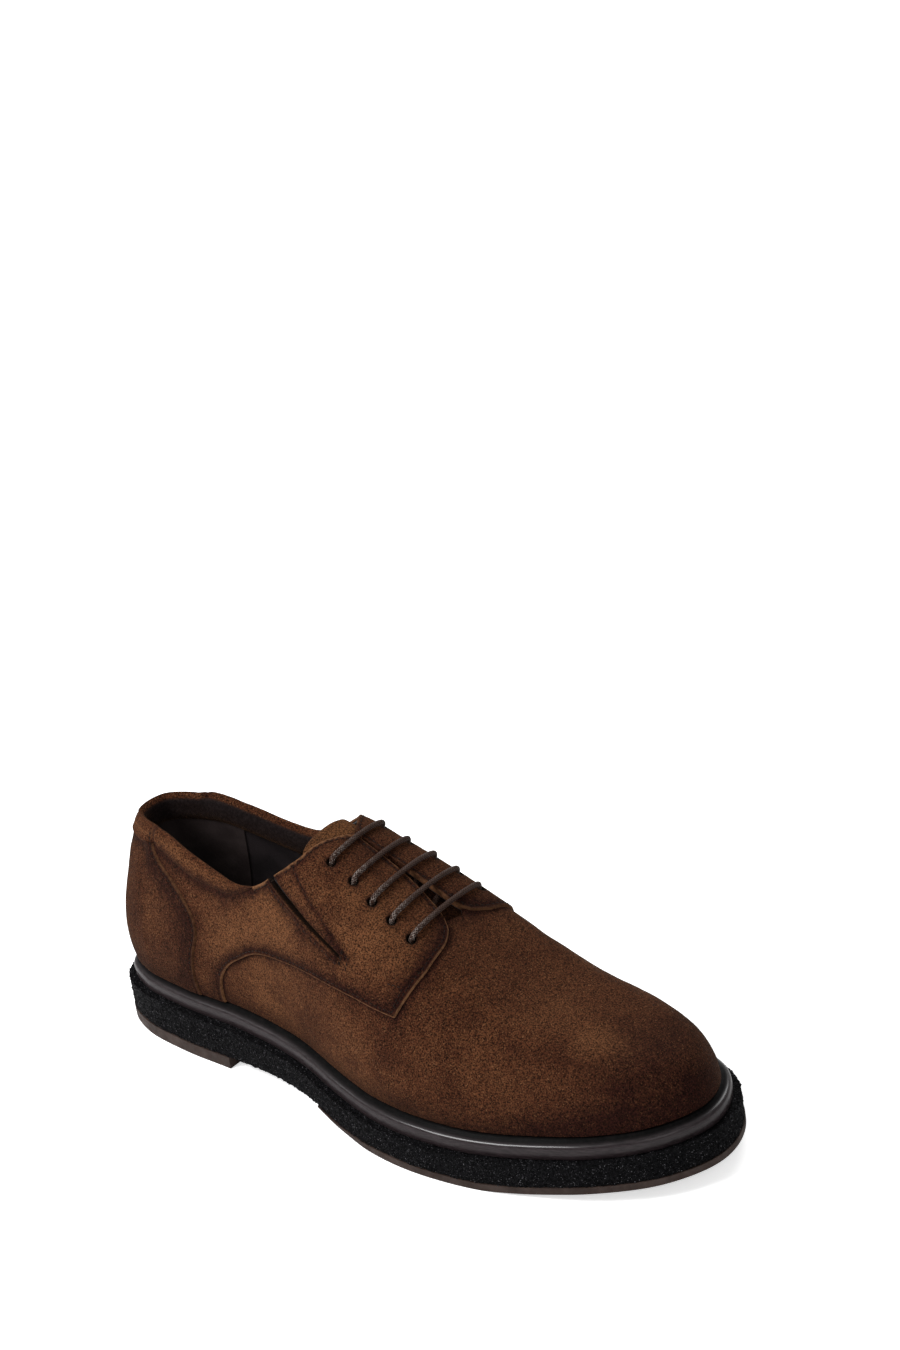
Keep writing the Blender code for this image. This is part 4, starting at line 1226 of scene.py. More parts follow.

# Dark bands along edges: pressed nap on the quarters beside their seams and throat edges, a darker band
# above the welt, a darker ring round the eyelets, and painted shade below the collar's roll, beside the
# lapping edges of the quarters and the counter, at the throat's nose and in the vee seams' troughs.
# kinds: panels that show it. wide: half size in metres. much: share of the darkest brown
DARK_EDGES = (
    ((0, 1, 2, 3), near_feather, 0.0080, 0.75),
    # painted shade below the collar's roll
    ((0, 1, 2, 3), near_collar, 0.0042, 1.10),
    ((0, 1, 2, 3), near_holes, 0.0012, 0.60),
    # these two rows: painted shadow of the quarters' lapping edge on the vamp
    ((0,), near_quarter, 0.0016, 0.75),
    ((0,), near_quarter, 0.0050, 0.25),
    # painted shade at the nose of the throat
    ((0,), near_nose, 0.0035, 0.60),
    ((1, 2), near_quarter, 0.0048, 1.25),
    ((1, 2), near_throat, 0.0028, 0.60),
    # painted shadow of the counter's lapping edge on the quarters
    ((1, 2), near_counter, 0.0030, 0.45),
    # these two rows: painted shade in the vee seams' troughs
    ((1, 2), near_vee, 0.0012, 0.80),
    ((1, 2), near_vee, 0.0035, 0.30),
)

# Painted shade in the troughs behind each slit. behind: metres behind it. wide: half size in metres. much: as
# above
SLIT_BANDS = ((STRIP_WIDTH, 0.0009, 0.90), (0.0024, 0.0005, 0.80), (0.0060, 0.0030, 0.45))

# Patches where the nap is brushed up and paler, and painted highlights on the toe's top (the first two rows).
# along and across: pattern place in metres. reach: half size in metres. much: share of the paler brown
BRUSHED = (
    (0.260, -0.016, 0.013, 0.60),
    (0.236, -0.007, 0.016, 0.12),
    (0.215, -0.045, 0.022, 0.25),
    (0.105, -0.095, 0.014, 0.55),
    (0.160, -0.085, 0.022, 0.30),
    (0.034, -0.063, 0.013, 0.45),
    (0.010, -0.030, 0.016, 0.15),
    (0.148, -0.042, 0.016, 0.60),
    (0.163, -0.022, 0.016, 0.45),
    (0.170, -0.038, 0.012, 0.35),
    (0.110, -0.062, 0.020, 0.70),
    (0.082, -0.066, 0.014, 0.65),
    (0.118, -0.045, 0.012, 0.55),
    (0.150, 0.044, 0.018, 0.60),
    (0.108, 0.064, 0.022, 0.60),
    (0.036, 0.062, 0.014, 0.55),
    (0.170, 0.088, 0.024, 0.35),
    (0.230, 0.045, 0.022, 0.30),
)


def waves(flat):
    """Lift of the suede's soft waves and creases."""
    lift = np.array([noise.noise(Vector((x * 45, y * 45, 7.0))) * 0.00030 for x, y in flat])
    lift += np.array([noise.noise(Vector((x * 140, y * 140, 2.0))) * 0.00010 for x, y in flat])
    for along, across, turn, long, wide, deep in CREASES:
        c, s = np.cos(np.radians(turn)), np.sin(np.radians(turn))
        x, y = (flat - (along, across)).T
        lift += deep * np.exp(-(((c * x + s * y) / long) ** 2) - ((-s * x + c * y) / wide) ** 2)
    return lift


def bell(d, wide):
    return np.exp(-((d / wide) ** 2))


def fillet(gap, reach):
    """How far a rounded edge has dropped at a gap from it, as a share of its size."""
    share = np.clip(gap / reach, 0, 1)
    return 1 - np.sqrt(1 - (1 - share) ** 2)


def slit_places(flat, kind):
    """How far behind the slit each place of a quarter lies, and whether it is beside the slit."""
    side = (-1, 1)[kind - 1]
    behind, share = along_line(slits[kind - 1], flat)
    return side * behind, (share > 0.001) & (share < 0.999)


def panel_lift(flat, step, kind):
    """Lift of a panel's top face: its step, rounded cut edges, stitch troughs and soft waves."""
    own = np.minimum(distance(sampled(raised[kind]), flat), distance(near_cuts, flat))
    lift = step + waves(flat) * np.clip(own / WAVE_FADE, 0, 1) - EDGE_ROUND * fillet(own, EDGE_ROUND)
    if kind in seam_rows:
        lift -= STITCH_TROUGH * bell(distance(sampled(seam_rows[kind]), flat), TROUGH_WIDTH)
    if kind == 3:
        under_collar = ease(-distance(near_collar, flat), -0.011, -0.001)
        lift -= COUNTER_DIP * under_collar * ease(-flat[:, 0], -0.036, -0.024)
    if kind in (1, 2):
        behind, beside_slit = slit_places(flat, kind)
        lift += sum(high * bell(behind - at, wide) for at, wide, high in SLIT_RIDGES) * beside_slit
        vee = distance(near_vee, flat)
        lift -= VEE_TROUGH * bell(vee, 0.0007) - VEE_RIDGE * bell(vee - 0.0014, 0.0010) * (behind > -0.02)
    return lift


def burnish(flat, kind, x):
    """How dark each place is: pressed nap and painted shade."""
    dark = np.zeros(len(flat))
    for kinds, edge_tree, wide, much in DARK_EDGES:
        if kind in kinds:
            dark += much * bell(distance(edge_tree, flat), wide)
    if kind == 0:
        # darker over the toe and down its sides: partly the toe's pressed nap, partly painted shade where the
        # toe turns away from the lamps
        dark += 0.66 * ease(x, 0.248, 0.279)
        dark += 0.45 * ease(np.abs(flat[:, 1]), 0.030, 0.062) * ease(x, 0.215, 0.265)
    if kind in (1, 2):
        # darker strip behind the slit, with painted shade in the troughs between its ridges, in front of the
        # slit and at its lower end
        behind, beside_slit = slit_places(flat, kind)
        strip = sum(much * bell(behind - at, wide) for at, wide, much in SLIT_BANDS)
        strip += 0.35 * (behind > 0) * (behind < STRIP_WIDTH)
        strip += 0.75 * bell(behind + 0.0015, 0.0026) * (behind < 0)
        dark += strip * beside_slit
        dark += 0.7 * bell(distance(sampled([slits[kind - 1][-2:]]), flat), 0.0030)
    if kind == 2:
        # painted shade: the inner quarter, on the side away from the lamps, is darker, most of all towards the
        # heel
        dark += 0.12 + 0.38 * ease(-flat[:, 0], -0.120, -0.095)
    if kind == 3:
        # painted shade: the counter is darker all over; behind its seam and towards the heel's back it is
        # darker still, partly pressed nap and partly painted shade
        dark += 0.25 + 1.05 * bell(np.maximum(distance(near_counter, flat) - 0.0010, 0), 0.0075)
        dark += 0.30 * ease(flat[:, 0], 0.020, -0.020)
    if kind in seam_rows:
        # darker along the stitch rows: pressed nap and painted shade in their troughs
        dark += 0.3 * bell(distance(sampled(seam_rows[kind]), flat), 0.0007)
    return np.clip(dark, 0, 1)


def brushed_up(flat):
    """How far the nap is brushed up, and painted with highlight, at each place."""
    much = np.zeros(len(flat))
    for along, across, reach, share in BRUSHED:
        much += share * bell(np.hypot(*(flat - (along, across)).T), reach)
    return np.clip(much, 0, 1)


# The first mask darkens the suede for pressed nap and for painted shade, the second pales it for brushed nap
# and for painted highlights, and the last paints shade nearly black inside slits and eyelets.
MASKS = ("Pressed", "Brushed", "Raw", "Hollow")
BROWNS = ("Tone", "Pale", "Deep", "Edge")
suede_nap = bpy.data.node_groups.new("suede_nap", "ShaderNodeTree")
for way, kind, labels in (
    ("INPUT", "NodeSocketFloat", MASKS),
    ("INPUT", "NodeSocketColor", BROWNS),
    ("OUTPUT", "NodeSocketColor", ("Color",)),
    ("OUTPUT", "NodeSocketFloat", ("Height",)),
):
    for label in labels:
        suede_nap.interface.new_socket(label, in_out=way, socket_type=kind)
given = suede_nap.nodes.new("NodeGroupInput").outputs
gives = suede_nap.nodes.new("NodeGroupOutput").inputs
fine = grain(suede_nap, 1600, 3, 0.65)
mottle = grain(suede_nap, 560, 2, 0.6)
cloud = grain(suede_nap, 60, 4, 0.6)
brushed = maths(suede_nap, "MULTIPLY_ADD", mottle, 0.30, maths(suede_nap, "MULTIPLY", cloud, 0.40))
# the paler brown comes from brushed nap and from painted highlights
brushed = maths(suede_nap, "MULTIPLY_ADD", given["Brushed"], 0.30, brushed)
colour = mixed(suede_nap, spread(suede_nap, brushed, 0.32, 0.64), given["Tone"], given["Pale"])
# pressed nap and painted shade mix the colour towards the darkest brown
pressed = maths(suede_nap, "MULTIPLY", given["Pressed"], spread(suede_nap, mottle, 0.2, 0.8, 1.2, 0.7))
pressed = maths(suede_nap, "MULTIPLY_ADD", spread(suede_nap, cloud, 0.50, 0.30), 0.35, pressed)
pressed = maths(suede_nap, "MINIMUM", pressed, 1.0)
colour = mixed(suede_nap, pressed, colour, given["Deep"])
fibre_dark = spread(suede_nap, fine, 0.36, 0.64, 0.22, 1.92)
colour = mixed(suede_nap, 1.0, colour, fibre_dark, "MULTIPLY")
fleck = spread(suede_nap, grain(suede_nap, 1900, 2, 0.5), 0.60, 0.70, 0.0, 0.75)
fleck = maths(suede_nap, "MULTIPLY", fleck, maths(suede_nap, "MULTIPLY_ADD", pressed, -0.75, 1.0))
colour = mixed(suede_nap, fleck, colour, given["Edge"])
ragged = maths(suede_nap, "MULTIPLY", given["Raw"], spread(suede_nap, mottle, 0.3, 0.6, 0.45, 1.0))
colour = mixed(suede_nap, ragged, colour, given["Edge"])
# painted shade: nearly black in slits and eyelet holes
colour = mixed(suede_nap, given["Hollow"], colour, (0.0012, 0.0010, 0.0010))
suede_nap.links.new(colour, gives["Color"])
suede_nap.links.new(maths(suede_nap, "MULTIPLY_ADD", mottle, 0.5, fine), gives["Height"])


def suede(name, *browns):
    """Suede of four browns: its nap; paler where it is brushed up and where highlights are painted; darker
    where it is pressed and where shade is painted; and its cut edges.
    """
    constants = {"Roughness": 0.9, "Specular_IOR_Level": 0.05, "Sheen_Weight": 0.08, "Sheen_Roughness": 0.4}
    made, tree, shader = material(name, **constants)
    shader.inputs["Sheen Tint"].default_value = (0.70, 0.36, 0.18, 1)
    nap = add(tree, "Group", node_tree=suede_nap)
    for label, brown in zip(BROWNS, browns):
        nap.inputs[label].default_value = (*brown, 1)
    for label in MASKS:
        tree.links.new(attribute(tree, label.lower()), nap.inputs[label])
    tree.links.new(nap.outputs["Color"], shader.inputs["Base Color"])
    relief(tree, shader, nap.outputs["Height"], 0.0006, 0.7)
    return made


brown_suede = suede(
    "brown_suede",
    (0.046, 0.0157, 0.0072),
    (0.092, 0.0365, 0.0155),
    (0.0145, 0.0041, 0.0029),
    (0.20, 0.095, 0.045),
)

for name, step, kind, raw_share in PANELS:
    made, faces, places = skin(
        pattern,
        triangles[panel_of == kind],
        lambda flat: panel_lift(flat, step, kind),
        lambda flat: np.full(len(flat), -PANEL),
    )
    dark = burnish(places, kind, made[: len(places), 0])
    # the raw edge is paler; its share is smaller on the inner quarter as painted shade
    raw = raw_share * np.clip(1.3 - distance(sampled(raised[kind]), places) / RAW_WIDTH, 0, 1)
    gap = distance(near_cuts, places)
    masks = {"pressed": np.tile(dark, 2), "raw": np.tile(raw, 2), "brushed": np.tile(brushed_up(places), 2)}
    # painted shade: nearly black on the top at the very rim of slits and eyelets, and on the walls and
    # underside near them
    masks["hollow"] = np.r_[0.9 * bell(gap, 0.00030), ease(0.0022 - gap, 0, 0.001)]
    of_shoe(shape(name, made, faces, brown_suede, masks), "upper")

# Padded collar
# A foam roll in suede round the topline, sewn to the quarters in a turned seam. At the back the counter's
# own suede wraps over it between two tab seams. It thins out to nothing below the top of each slit.
# Painted shade darkens it along its foot seam and in the tab seams' grooves, and a painted highlight pales
# its crest.
ROLL_OUT = 0.0007
ROLL_IN = 0.0020
LEAN = 0.0016
LEAST_ROLL = 0.0008
FULL_WIDTH = 0.0065

# Seam at each side of the counter's tab, as the share along the sole at each share of LAST_HEIGHT
TAB_SEAM = tuple((height, along) for along, height in COUNTER_SEAM[:4][::-1])


def roll_section(width, full, back):
    """Control points of the roll's section: metres below the topline and metres off the last."""
    foot = 0.0003 + 0.0001 * back
    out = 0.0015 + ROLL_OUT * full * (1 - back) - 0.0004 * back
    section = [
        (width + 0.0002, foot - 0.0002),
        (width - 0.0002, foot + 0.0005),
        (0.86 * width, foot + 0.0010 + 0.0002 * full - 0.0003 * back),
        (0.62 * width, out),
        (0.36 * width, out + 0.0001),
        (0.16 * width, out - 0.0002),
        (0.0002, out - 0.0009),
        (-0.0004 * full, 0.0004),
        (0.0000, -0.0004),
        (0.0006 + 0.0004 * full, -0.0013 - 0.0004 * full),
        (0.0007 + 0.0022 * full, -0.0020 - 0.0009 * full),
        (0.0008 + 0.0052 * full, -0.0024 - 0.8 * ROLL_IN * full),
        (0.0010 + 0.0084 * full, -0.0025 - ROLL_IN * full),
        (0.0012 + 0.0110 * full, -0.0025 - 0.5 * ROLL_IN * full),
        (0.0013 + 0.0122 * full, -0.0022),
        (0.0010 + 0.0095 * full, -0.0014),
        (0.6 * width, -0.0008),
    ]
    return [(down, lift - LEAN * back * ease(-down, -0.9 * width, -0.1 * width)) for down, lift in section]


def tube_faces(rows, count, first=0):
    """Faces of a closed tube of rings, with its two ends."""
    ends = [tuple(range(first, first + count))[::-1]]
    ends.append(tuple(range(first + (rows - 1) * count, first + rows * count)))
    return bands(rows, count, first) + ends


rings, dark, lined, brush = [], [], [], []
for k in has_collar:
    width = max(collar_width[k], LEAST_ROLL)
    full = np.clip(width / FULL_WIDTH, 0.05, 1) ** 0.8
    back_share = ease(top_x[k], 0.039, 0.034)
    section = rounded(roll_section(width, full, back_share), closed=True, pieces=3)
    places = top[k] + top_ray[k] * section[:, :1]
    height_share = last.off(places, np.zeros(len(places)))[:, 2] / LAST_HEIGHT
    tab = smooth(TAB_SEAM, height_share) * SOLE_LENGTH
    groove = bell(top_x[k] - tab, 0.0011)
    pucker = 0.00015 * noise.noise(Vector((k * 0.23, 1.0, 4.0)))
    pucker += 0.00025 * noise.noise(Vector((k * 0.07, 9.0, 4.0)))
    lift = section[:, 1] + pucker * full * (section[:, 1] > -0.001)
    lift -= 0.0008 * groove * (section[:, 1] > -0.0014) * full
    rings.append(last.off(places, lift))
    outside = section[:, 1] > 0
    # painted shade along the roll's foot seam and in the grooves of the tab seams
    seam_dark = bell(section[:, 0] - width, 0.0034) * outside * (1 - 0.75 * back_share)
    dark.append(np.clip(0.95 * seam_dark + 0.9 * groove * (section[:, 1] > -0.002) + 0.12, 0, 1))
    returning = np.arange(len(section)) > np.argmin(section[:, 1])
    lined.append(np.maximum(ease(section[:, 1] + LEAN * back_share, -0.0017, -0.0023), returning))
    # painted highlight along the roll's crest
    brush.append(0.6 * bell(section[:, 0] - 0.35 * width, 0.0030) * outside)
faces = tube_faces(len(rings), len(rings[0]))
dark, lined, brush = np.concatenate(dark), np.concatenate(lined), np.concatenate(brush)

collar_suede = brown_suede.copy()
collar_suede.name = "collar_suede_and_lining"
tree = collar_suede.node_tree
shader = tree.nodes["Principled BSDF"]
nap_colour = shader.inputs["Base Color"].links[0].from_socket
pores = spread(tree, grain(tree, 800, 3), 0.35, 0.7)
leather_tone = mixed(tree, pores, (0.0080, 0.0055, 0.0056), (0.0150, 0.0105, 0.0105))
inner_side = attribute(tree, "lined")
tree.links.new(mixed(tree, inner_side, nap_colour, leather_tone), shader.inputs["Base Color"])
tree.links.new(spread(tree, inner_side, 0.2, 0.8, 0.92, 0.50), shader.inputs["Roughness"])
masks = {"pressed": dark, "raw": 0 * dark, "brushed": brush, "lined": lined}
roll = shape("padded_collar", np.vstack(rings), faces, collar_suede, masks)
of_shoe(roll, "upper")

# Lining
# Thin dark leather glued inside the suede, with its upper edge under the collar's roll, and its raw edge
# just behind the facings' own. The heel's own piece laps over the front at an upright seam on each side.
LAP = 0.0005
UNDER_SUEDE = 0.00005
LINING_FILL = 0.0024
FACING_INSET = 0.0007

# Upright seam of the heel's piece, from the topline down. along and across: pattern place in metres
LINING_SEAM = (
    (0.0585, 0.0180),
    (0.0557, 0.0305),
    (0.0517, 0.0475),
    (0.0478, 0.0635),
    (0.0440, 0.0790),
    (0.0410, 0.0920),
)
reach = 0.0008 + 0.0116 * np.clip(collar_width / FULL_WIDTH, 0.05, 1) ** 0.8 * ease(-top_x, -0.104, -0.096)
lining_cut = top + top_ray * np.where(collar_width > LEAST_COLLAR, reach, LEAST_COLLAR)[:, None]
lining_opening = [lining_cut[::-1], beside(facings[0], -FACING_INSET), nose[None] + (FACING_INSET, 0)]
lining_opening = clean(np.vstack(lining_opening + [beside(facings[1], FACING_INSET)[::-1]]))
laps = [even(np.array(LINING_SEAM) * (1, side), 0.0020) for side in (-1, 1)]
lap_loops = [np.vstack([beside(lap, 0.0002), beside(lap, -0.0002)[::-1]]) for lap in laps]
loops = [(loop, True) for loop in [feather_line, lining_opening] + gore_slots + holes + lap_loops]
flat, faces = net(loops, [], LINING_FILL, 0.5, 1, 2e-5)[:2]
centres = flat[faces].mean(1)
kept = inside(feather_line, centres)
for polygon in [lining_opening] + gore_slots + holes:
    kept &= ~inside(polygon, centres)


def heel_lining(places):
    """Which places the heel's piece of lining covers."""
    line = np.array(LINING_SEAM)
    return ease(np.interp(np.abs(places[:, 1]), line[:, 1], line[:, 0]) - places[:, 0], -0.0001, 0.0001)


made, faces, places = skin(
    flat,
    faces[kept],
    lambda p: np.full(len(p), -PANEL - UNDER_SUEDE),
    lambda p: -WALL - LAP * heel_lining(p),
)
lining_leather, tree, shader = material("lining_leather", Specular_IOR_Level=0.4)
pores = grain(tree, 1100, 3, 0.6)
patches = spread(tree, grain(tree, 90, 3), 0.35, 0.7)
front_tone = mixed(tree, patches, (0.010, 0.0075, 0.0080), (0.020, 0.015, 0.016))
heel_tone = mixed(tree, patches, (0.020, 0.0135, 0.0130), (0.036, 0.026, 0.025))
tone = mixed(tree, attribute(tree, "heel_piece"), front_tone, heel_tone)
dress(tree, shader, tone, spread(tree, pores, 0.3, 0.7, 0.42, 0.6), pores, 0.0002, 0.5)
masks = {"heel_piece": np.tile(heel_lining(places), 2)}
of_shoe(shape("lining", made, faces, lining_leather, masks), "upper")

# Stitching
# Tone-on-tone thread in short stitches that sink at both ends: one row inside the edge of each quarter and
# of the counter, rows along each slit and facing, and bar tacks where the slit ends.
STITCH_PITCH = 0.0023
STITCH_LENGTH = 0.0018
THREAD_RADIUS = 0.00021
THREAD_SIDES = 7
TACK_HALF = 0.0036

# One stitch from end to end. along: share of its length. lift: metres over the trough. thick: share of the
# thread's radius
STITCH = (
    (-1 / 2, -0.00030, 0.55),
    (-1 / 3, -0.00002, 0.90),
    (-1 / 6, 0.00006, 1.00),
    (0, 0.00009, 1.00),
    (1 / 6, 0.00006, 1.00),
    (1 / 3, -0.00002, 0.90),
    (1 / 2, -0.00030, 0.55),
)

# Corners of the tack over each quarter's front corner, in metres on the flat pattern
CORNER_TACK = ((0.1775, 0.0459), (0.1845, 0.0430), (0.1822, 0.0527))

thread_rows = []
for side, k in ((-1, 0), (1, 1)):
    thread_rows.append((seam_rows[k + 1][0][2:-12], QUARTER_STEP))
    thread_rows.append((seam_rows[k + 1][1][2:], QUARTER_STEP))
    thread_rows.append((seam_rows[3][k][6:-12], COUNTER_STEP))
    thread_rows.append((beside(slits[k], side * STRIP_WIDTH)[4:], QUARTER_STEP - 0.0001))
    thread_rows.append((vees[k], QUARTER_STEP - 0.0001))
    tack = np.array(CORNER_TACK) * (1, side)
    for a, b in zip(tack, tack[1:]):
        thread_rows.append((a + (b - a) * np.linspace(0, 1, 20)[:, None], QUARTER_STEP + 0.0002))
    end = slits[k][-1]
    way = slits[k][-1] - slits[k][-6]
    way /= np.hypot(*way)
    cross = np.array([-way[1], way[0]])
    for shift in (0.0006, 0.0012, 0.0044):
        bar = [end + way * shift + cross * t for t in np.linspace(-TACK_HALF, TACK_HALF, 12)]
        thread_rows.append((np.array(bar), QUARTER_STEP + 0.0002))


def tube(centre, up, across, radius, sides):
    """Rings of points round each centre, in the plane of up and across."""
    angle = np.linspace(0, 2 * np.pi, sides, endpoint=False)[:, None]
    spokes = np.cos(angle) * up[..., None, :] + np.sin(angle) * across[..., None, :]
    return (centre[..., None, :] + np.asarray(radius)[..., None, None] * spokes).reshape(-1, 3)


shares, drop, thick = np.array(STITCH).T
middles, lifts = [], []
for line, level in thread_rows:
    run = np.r_[0, np.cumsum(np.hypot(*np.diff(line, axis=0).T))]
    for centre in np.arange(STITCH_PITCH / 2, run[-1] - STITCH_LENGTH / 2, STITCH_PITCH):
        stops = centre + shares * STITCH_LENGTH
        middles.append(np.stack([np.interp(stops, run, line[:, 0]), np.interp(stops, run, line[:, 1])], 1))
        lifts.append(level - STITCH_TROUGH * 0.5 + drop)
flat = np.vstack(middles)
lifts = np.concatenate(lifts) + waves(flat) * 0.25
centre = last.off(flat, lifts)
up = (last.off(flat, lifts + 0.001) - centre) / 0.001
centre, up = (values.reshape(len(middles), len(STITCH), 3) for values in (centre, up))
along = np.gradient(centre, axis=1)
along /= np.linalg.norm(along, axis=2)[..., None]
across = np.cross(along, up)
across /= np.linalg.norm(across, axis=2)[..., None]
points = tube(centre, np.cross(across, along), across, THREAD_RADIUS * thick, THREAD_SIDES)
faces = []
for k in range(len(middles)):
    faces += tube_faces(len(STITCH), THREAD_SIDES, k * len(STITCH) * THREAD_SIDES)
thread, tree, shader = material("brown_thread", Specular_IOR_Level=0.12)
strand = add(tree, "TexCoord").outputs["Object"]
twist = add(tree, "TexWave", {"Vector": strand, "Scale": 900.0, "Distortion": 2.0}, bands_direction="DIAGONAL")
tone = mixed(tree, twist.outputs["Fac"], (0.006, 0.0026, 0.0018), (0.019, 0.0085, 0.005))
rough = spread(tree, twist.outputs["Fac"], 0.0, 1.0, 0.45, 0.7)
dress(tree, shader, tone, rough, twist.outputs["Fac"], 0.0001, 0.6)
of_shoe(shape("stitching", points, faces, thread), "upper")

# Gores
# A woven strip of black ribbed elastic sewn behind each slit, so that the throat gives a little while the
# lace stays tied. Its two edges are caught by the seams beside the slit.
elastic, tree, shader = material("ribbed_elastic", Roughness=0.9, Specular_IOR_Level=0.2)
place = add(tree, "TexCoord").outputs["Object"]
sockets = {"Vector": place, "Scale": 240.0, "Distortion": 0.4}
ribs = add(tree, "TexWave", sockets, bands_direction="X").outputs["Fac"]
tree.links.new(mixed(tree, ribs, (0.004, 0.004, 0.004), (0.016, 0.015, 0.015)), shader.inputs["Base Color"])
relief(tree, shader, ribs, 0.0003, 0.8)
for name in ("gore_outer", "gore_inner"):
    gore = frame["nodes"][name]
    gore.data.materials.clear()
    gore.data.materials.append(elastic)

# Tongue
# One layer of softer suede under the facings and the lace, sewn on behind the vamp's front, with its top
# edge turned over softly. Painted shade darkens it where it lies under the facings and the lace, and the top
# that shows above them is left paler.
TONGUE_THICKNESS = 0.0022
TONGUE_FILL = 0.0016
TONGUE_ROUND = 0.0009
TONGUE_ROUND_REACH = 0.0011
LACE_DIAMETER = 0.0024

# Tongue. along: share of SOLE_LENGTH. width: half width over the curve, as a share of half the BALL_WIDTH.
# depth: how far it lies below its highest level, in lace diameters
TONGUE = (
    (0.398, 0.300, 0.10),
    (0.406, 0.440, 0.15),
    (0.425, 0.500, 0.35),
    (0.460, 0.510, 0.90),
    (0.540, 0.490, 1.00),
    (0.610, 0.450, 1.00),
    (0.660, 0.400, 0.60),
)
loop = [(row[0] * SOLE_LENGTH, -row[1] * BALL_WIDTH / 2) for row in TONGUE]
loop += [(x, -y) for x, y in loop[::-1]]
loop = even(loop, 0.0012, closed=True)
flat, faces = net([(loop, True)], [], TONGUE_FILL, 0.5, 1, 1e-6)[:2]
tongue_edge = sampled([closed_line(loop)])


def tongue_level(places):
    """Level of the tongue's top face, and how far its rounded rim falls short of either face."""
    drop = (LACE_DIAMETER + 2 * CLEARANCE) * smooth(TONGUE, places[:, 0] / SOLE_LENGTH, 2)
    short = TONGUE_ROUND * fillet(distance(tongue_edge, places), TONGUE_ROUND_REACH)
    return -WALL - 2 * CLEARANCE - drop, short


def tongue_over(places):
    level, short = tongue_level(places)
    return level - short + [noise.noise(Vector((x * 80, y * 80, 5.0))) * 0.00025 for x, y in places]


def tongue_under(places):
    level, short = tongue_level(places)
    return level - TONGUE_THICKNESS + short


made, faces, places = skin(flat, faces, tongue_over, tongue_under)
tongue_suede = suede(
    "tongue_suede",
    (0.052, 0.0195, 0.0075),
    (0.088, 0.036, 0.0140),
    (0.020, 0.0070, 0.0042),
    (0.15, 0.075, 0.038),
)
# painted shade on the tongue under the facings and the lace; the top that shows is paler
hidden = ease(places[:, 0] / SOLE_LENGTH, 0.425, 0.450)
dark = 0.20 * bell(distance(tongue_edge, places), 0.004) + 0.75 * hidden
masks = {"pressed": np.tile(dark, 2), "brushed": np.tile(1 - hidden, 2)}
of_shoe(shape("tongue_flap", made, faces, tongue_suede, masks), "tongue")

# Lace
# One round waxed cord of dark brown braid: straight bars over the facings, slanting runs under them, and
# its ends tucked inside at the top eyelets. Painted glints pale the crowns of its strands near the outer
# eyelets.
LACE_STEP = 0.0006
LACE_SIDES = 16
BRAID_LENGTH = 0.0011
BRAID_STRANDS = 6
LACE_FIRMNESS = 0.93
radius = LACE_DIAMETER / 2
above = QUARTER_STEP + CLEARANCE + radius
below = -WALL - 2 * CLEARANCE - radius
route = []
for k, (outer, inner) in enumerate(eyelet_pairs):
    if k:
        before = eyelet_pairs[k - 1][1]
        route += [(before + (outer - before) * share, below) for share in (0.2, 0.5, 0.8)]
    route += [(outer, below), (outer, (above + below) / 2)]
    route += [(outer + (inner - outer) * share, above) for share in (0.04, 0.2, 0.4, 0.6, 0.8, 0.96)]
    route += [(inner, (above + below) / 2), (inner, below)]
beyond = np.array([0.0, LACE_DIAMETER + 3 * CLEARANCE])
route += [(pair[1] + beyond, below) for pair in eyelet_pairs[::-1]]
path = last.off(np.array([place for place, lift in route]), np.array([lift for place, lift in route]))
path = even(path, LACE_STEP)
along = np.gradient(path, axis=0)
along /= np.linalg.norm(along, axis=1)[:, None]
frame_up = np.empty_like(path)
lead = np.cross(along[0], (0, 0, 1.0))
for k, way in enumerate(along):
    lead = lead - way * (lead @ way)
    lead /= np.linalg.norm(lead)
    frame_up[k] = lead
points = tube(path, frame_up, np.cross(along, frame_up), radius * LACE_FIRMNESS, LACE_SIDES)
faces = tube_faces(len(path), LACE_SIDES)
cord, tree, shader = material("waxed_braid", Specular_IOR_Level=0.08, Coat_Roughness=0.35)
phase = maths(tree, "MULTIPLY", attribute(tree, "turn"), 2 * np.pi * BRAID_STRANDS)
walk = maths(tree, "MULTIPLY", attribute(tree, "run"), 2 * np.pi / BRAID_LENGTH)
left = maths(tree, "SINE", maths(tree, "ADD", walk, phase))
right_hand = maths(tree, "SINE", maths(tree, "SUBTRACT", walk, phase))
plait = maths(tree, "MAXIMUM", left, right_hand)
tone = mixed(tree, spread(tree, plait, -0.3, 1.0), (0.017, 0.0080, 0.0054), (0.058, 0.0300, 0.0210))
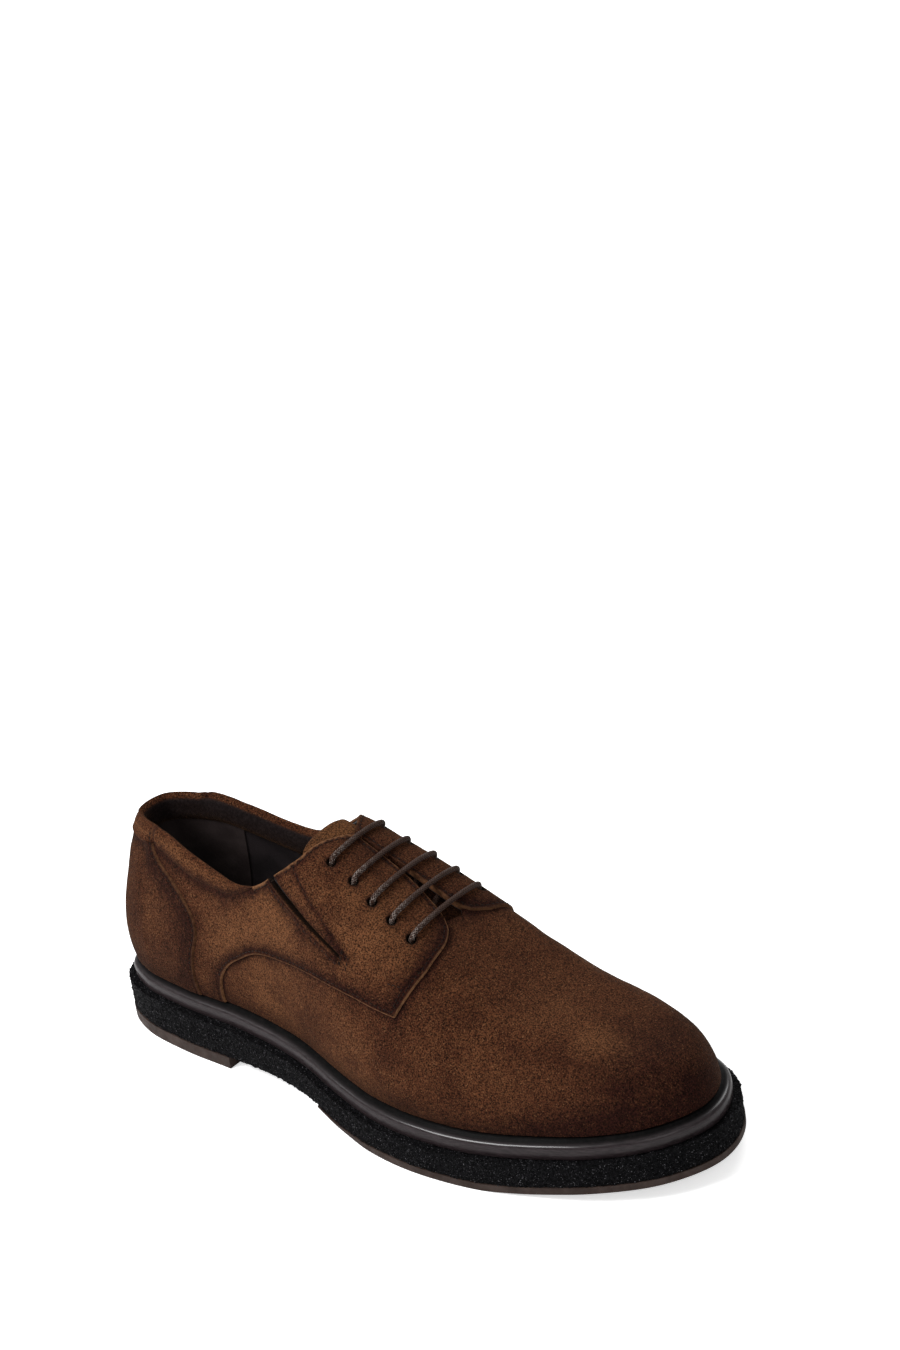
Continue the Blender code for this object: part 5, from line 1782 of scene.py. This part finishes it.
# painted glints: pale specks on the strands' crowns, strongest near the outer eyelets
glint = maths(tree, "MULTIPLY", spread(tree, plait, 0.55, 1.0), spread(tree, grain(tree, 900, 2), 0.40, 0.62))
glint = maths(tree, "MULTIPLY", glint, maths(tree, "MULTIPLY_ADD", attribute(tree, "lit"), 0.75, 0.10))
tone = mixed(tree, glint, tone, (0.34, 0.29, 0.26))
dress(tree, shader, tone, spread(tree, plait, -0.3, 1.0, 0.6, 0.38), plait, 0.00018, 0.8)
tree.links.new(spread(tree, grain(tree, 150, 2), 0.3, 0.7, 0.0, 0.12), shader.inputs["Coat Weight"])
lit = np.zeros(len(path))
for outer, inner in eyelet_pairs:
    foot = last.off(outer[None], np.array([above]))[0]
    lit += bell(np.linalg.norm(path - foot, axis=1), 0.0095)
lace = shape("waxed_lace", points, faces, cord, {"lit": np.repeat(np.clip(lit, 0, 1), LACE_SIDES)})
corner = np.zeros(len(lace.data.loops), int)
lace.data.loops.foreach_get("vertex_index", corner)
quads = corner[: 4 * (len(path) - 1) * LACE_SIDES].reshape(-1, 4)
strip = (np.arange(len(quads)) % LACE_SIDES)[:, None]
turn, run = np.zeros(len(corner)), np.zeros(len(corner))
turn[: quads.size] = ((strip + (quads % LACE_SIDES != strip)) / LACE_SIDES).ravel()
run[: quads.size] = (quads // LACE_SIDES * LACE_STEP).ravel()
for label, values in (("turn", turn), ("run", run)):
    lace.data.attributes.new(label, "FLOAT", "CORNER").data.foreach_set("value", values.astype(np.float32))
of_shoe(lace, "lace")

# Insole
# A flat sock of grey-green leather glued on the insole board inside the upper, turned up a little round its
# rim and worn smooth.
INSOLE_THICKNESS = 0.0035
BED_DROP = 0.0006
SOCK_DISH = 0.0009
DISH_REACH = 0.010
bed = rim(FEATHER_INSET + WALL + CLEARANCE, 0.0016)
bed_edge = sampled([closed_line(bed)], 0.0005)
bed_top = INSOLE_THICKNESS - BED_DROP
points, faces = slab(bed, lambda x: feather(x) - BED_DROP, lambda x: feather(x) + bed_top, 3, 0.003)
rise = SOCK_DISH * np.clip(1 - distance(bed_edge, points[:, :2]) / DISH_REACH, 0, 1) ** 2
points[:, 2] += rise * (points[:, 2] > feather(points[:, 0]) + 0.5 * INSOLE_THICKNESS)
sock, tree, shader = material("insole_leather", Specular_IOR_Level=0.3)
pores = grain(tree, 900, 3, 0.6)
tone = mixed(tree, spread(tree, grain(tree, 60, 4), 0.35, 0.7), (0.083, 0.080, 0.066), (0.142, 0.137, 0.110))
dress(tree, shader, tone, spread(tree, pores, 0.3, 0.7, 0.6, 0.8), pores, 0.0002, 0.5)
of_shoe(shape("insole_sock", points, faces, sock), "insole")

low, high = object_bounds()
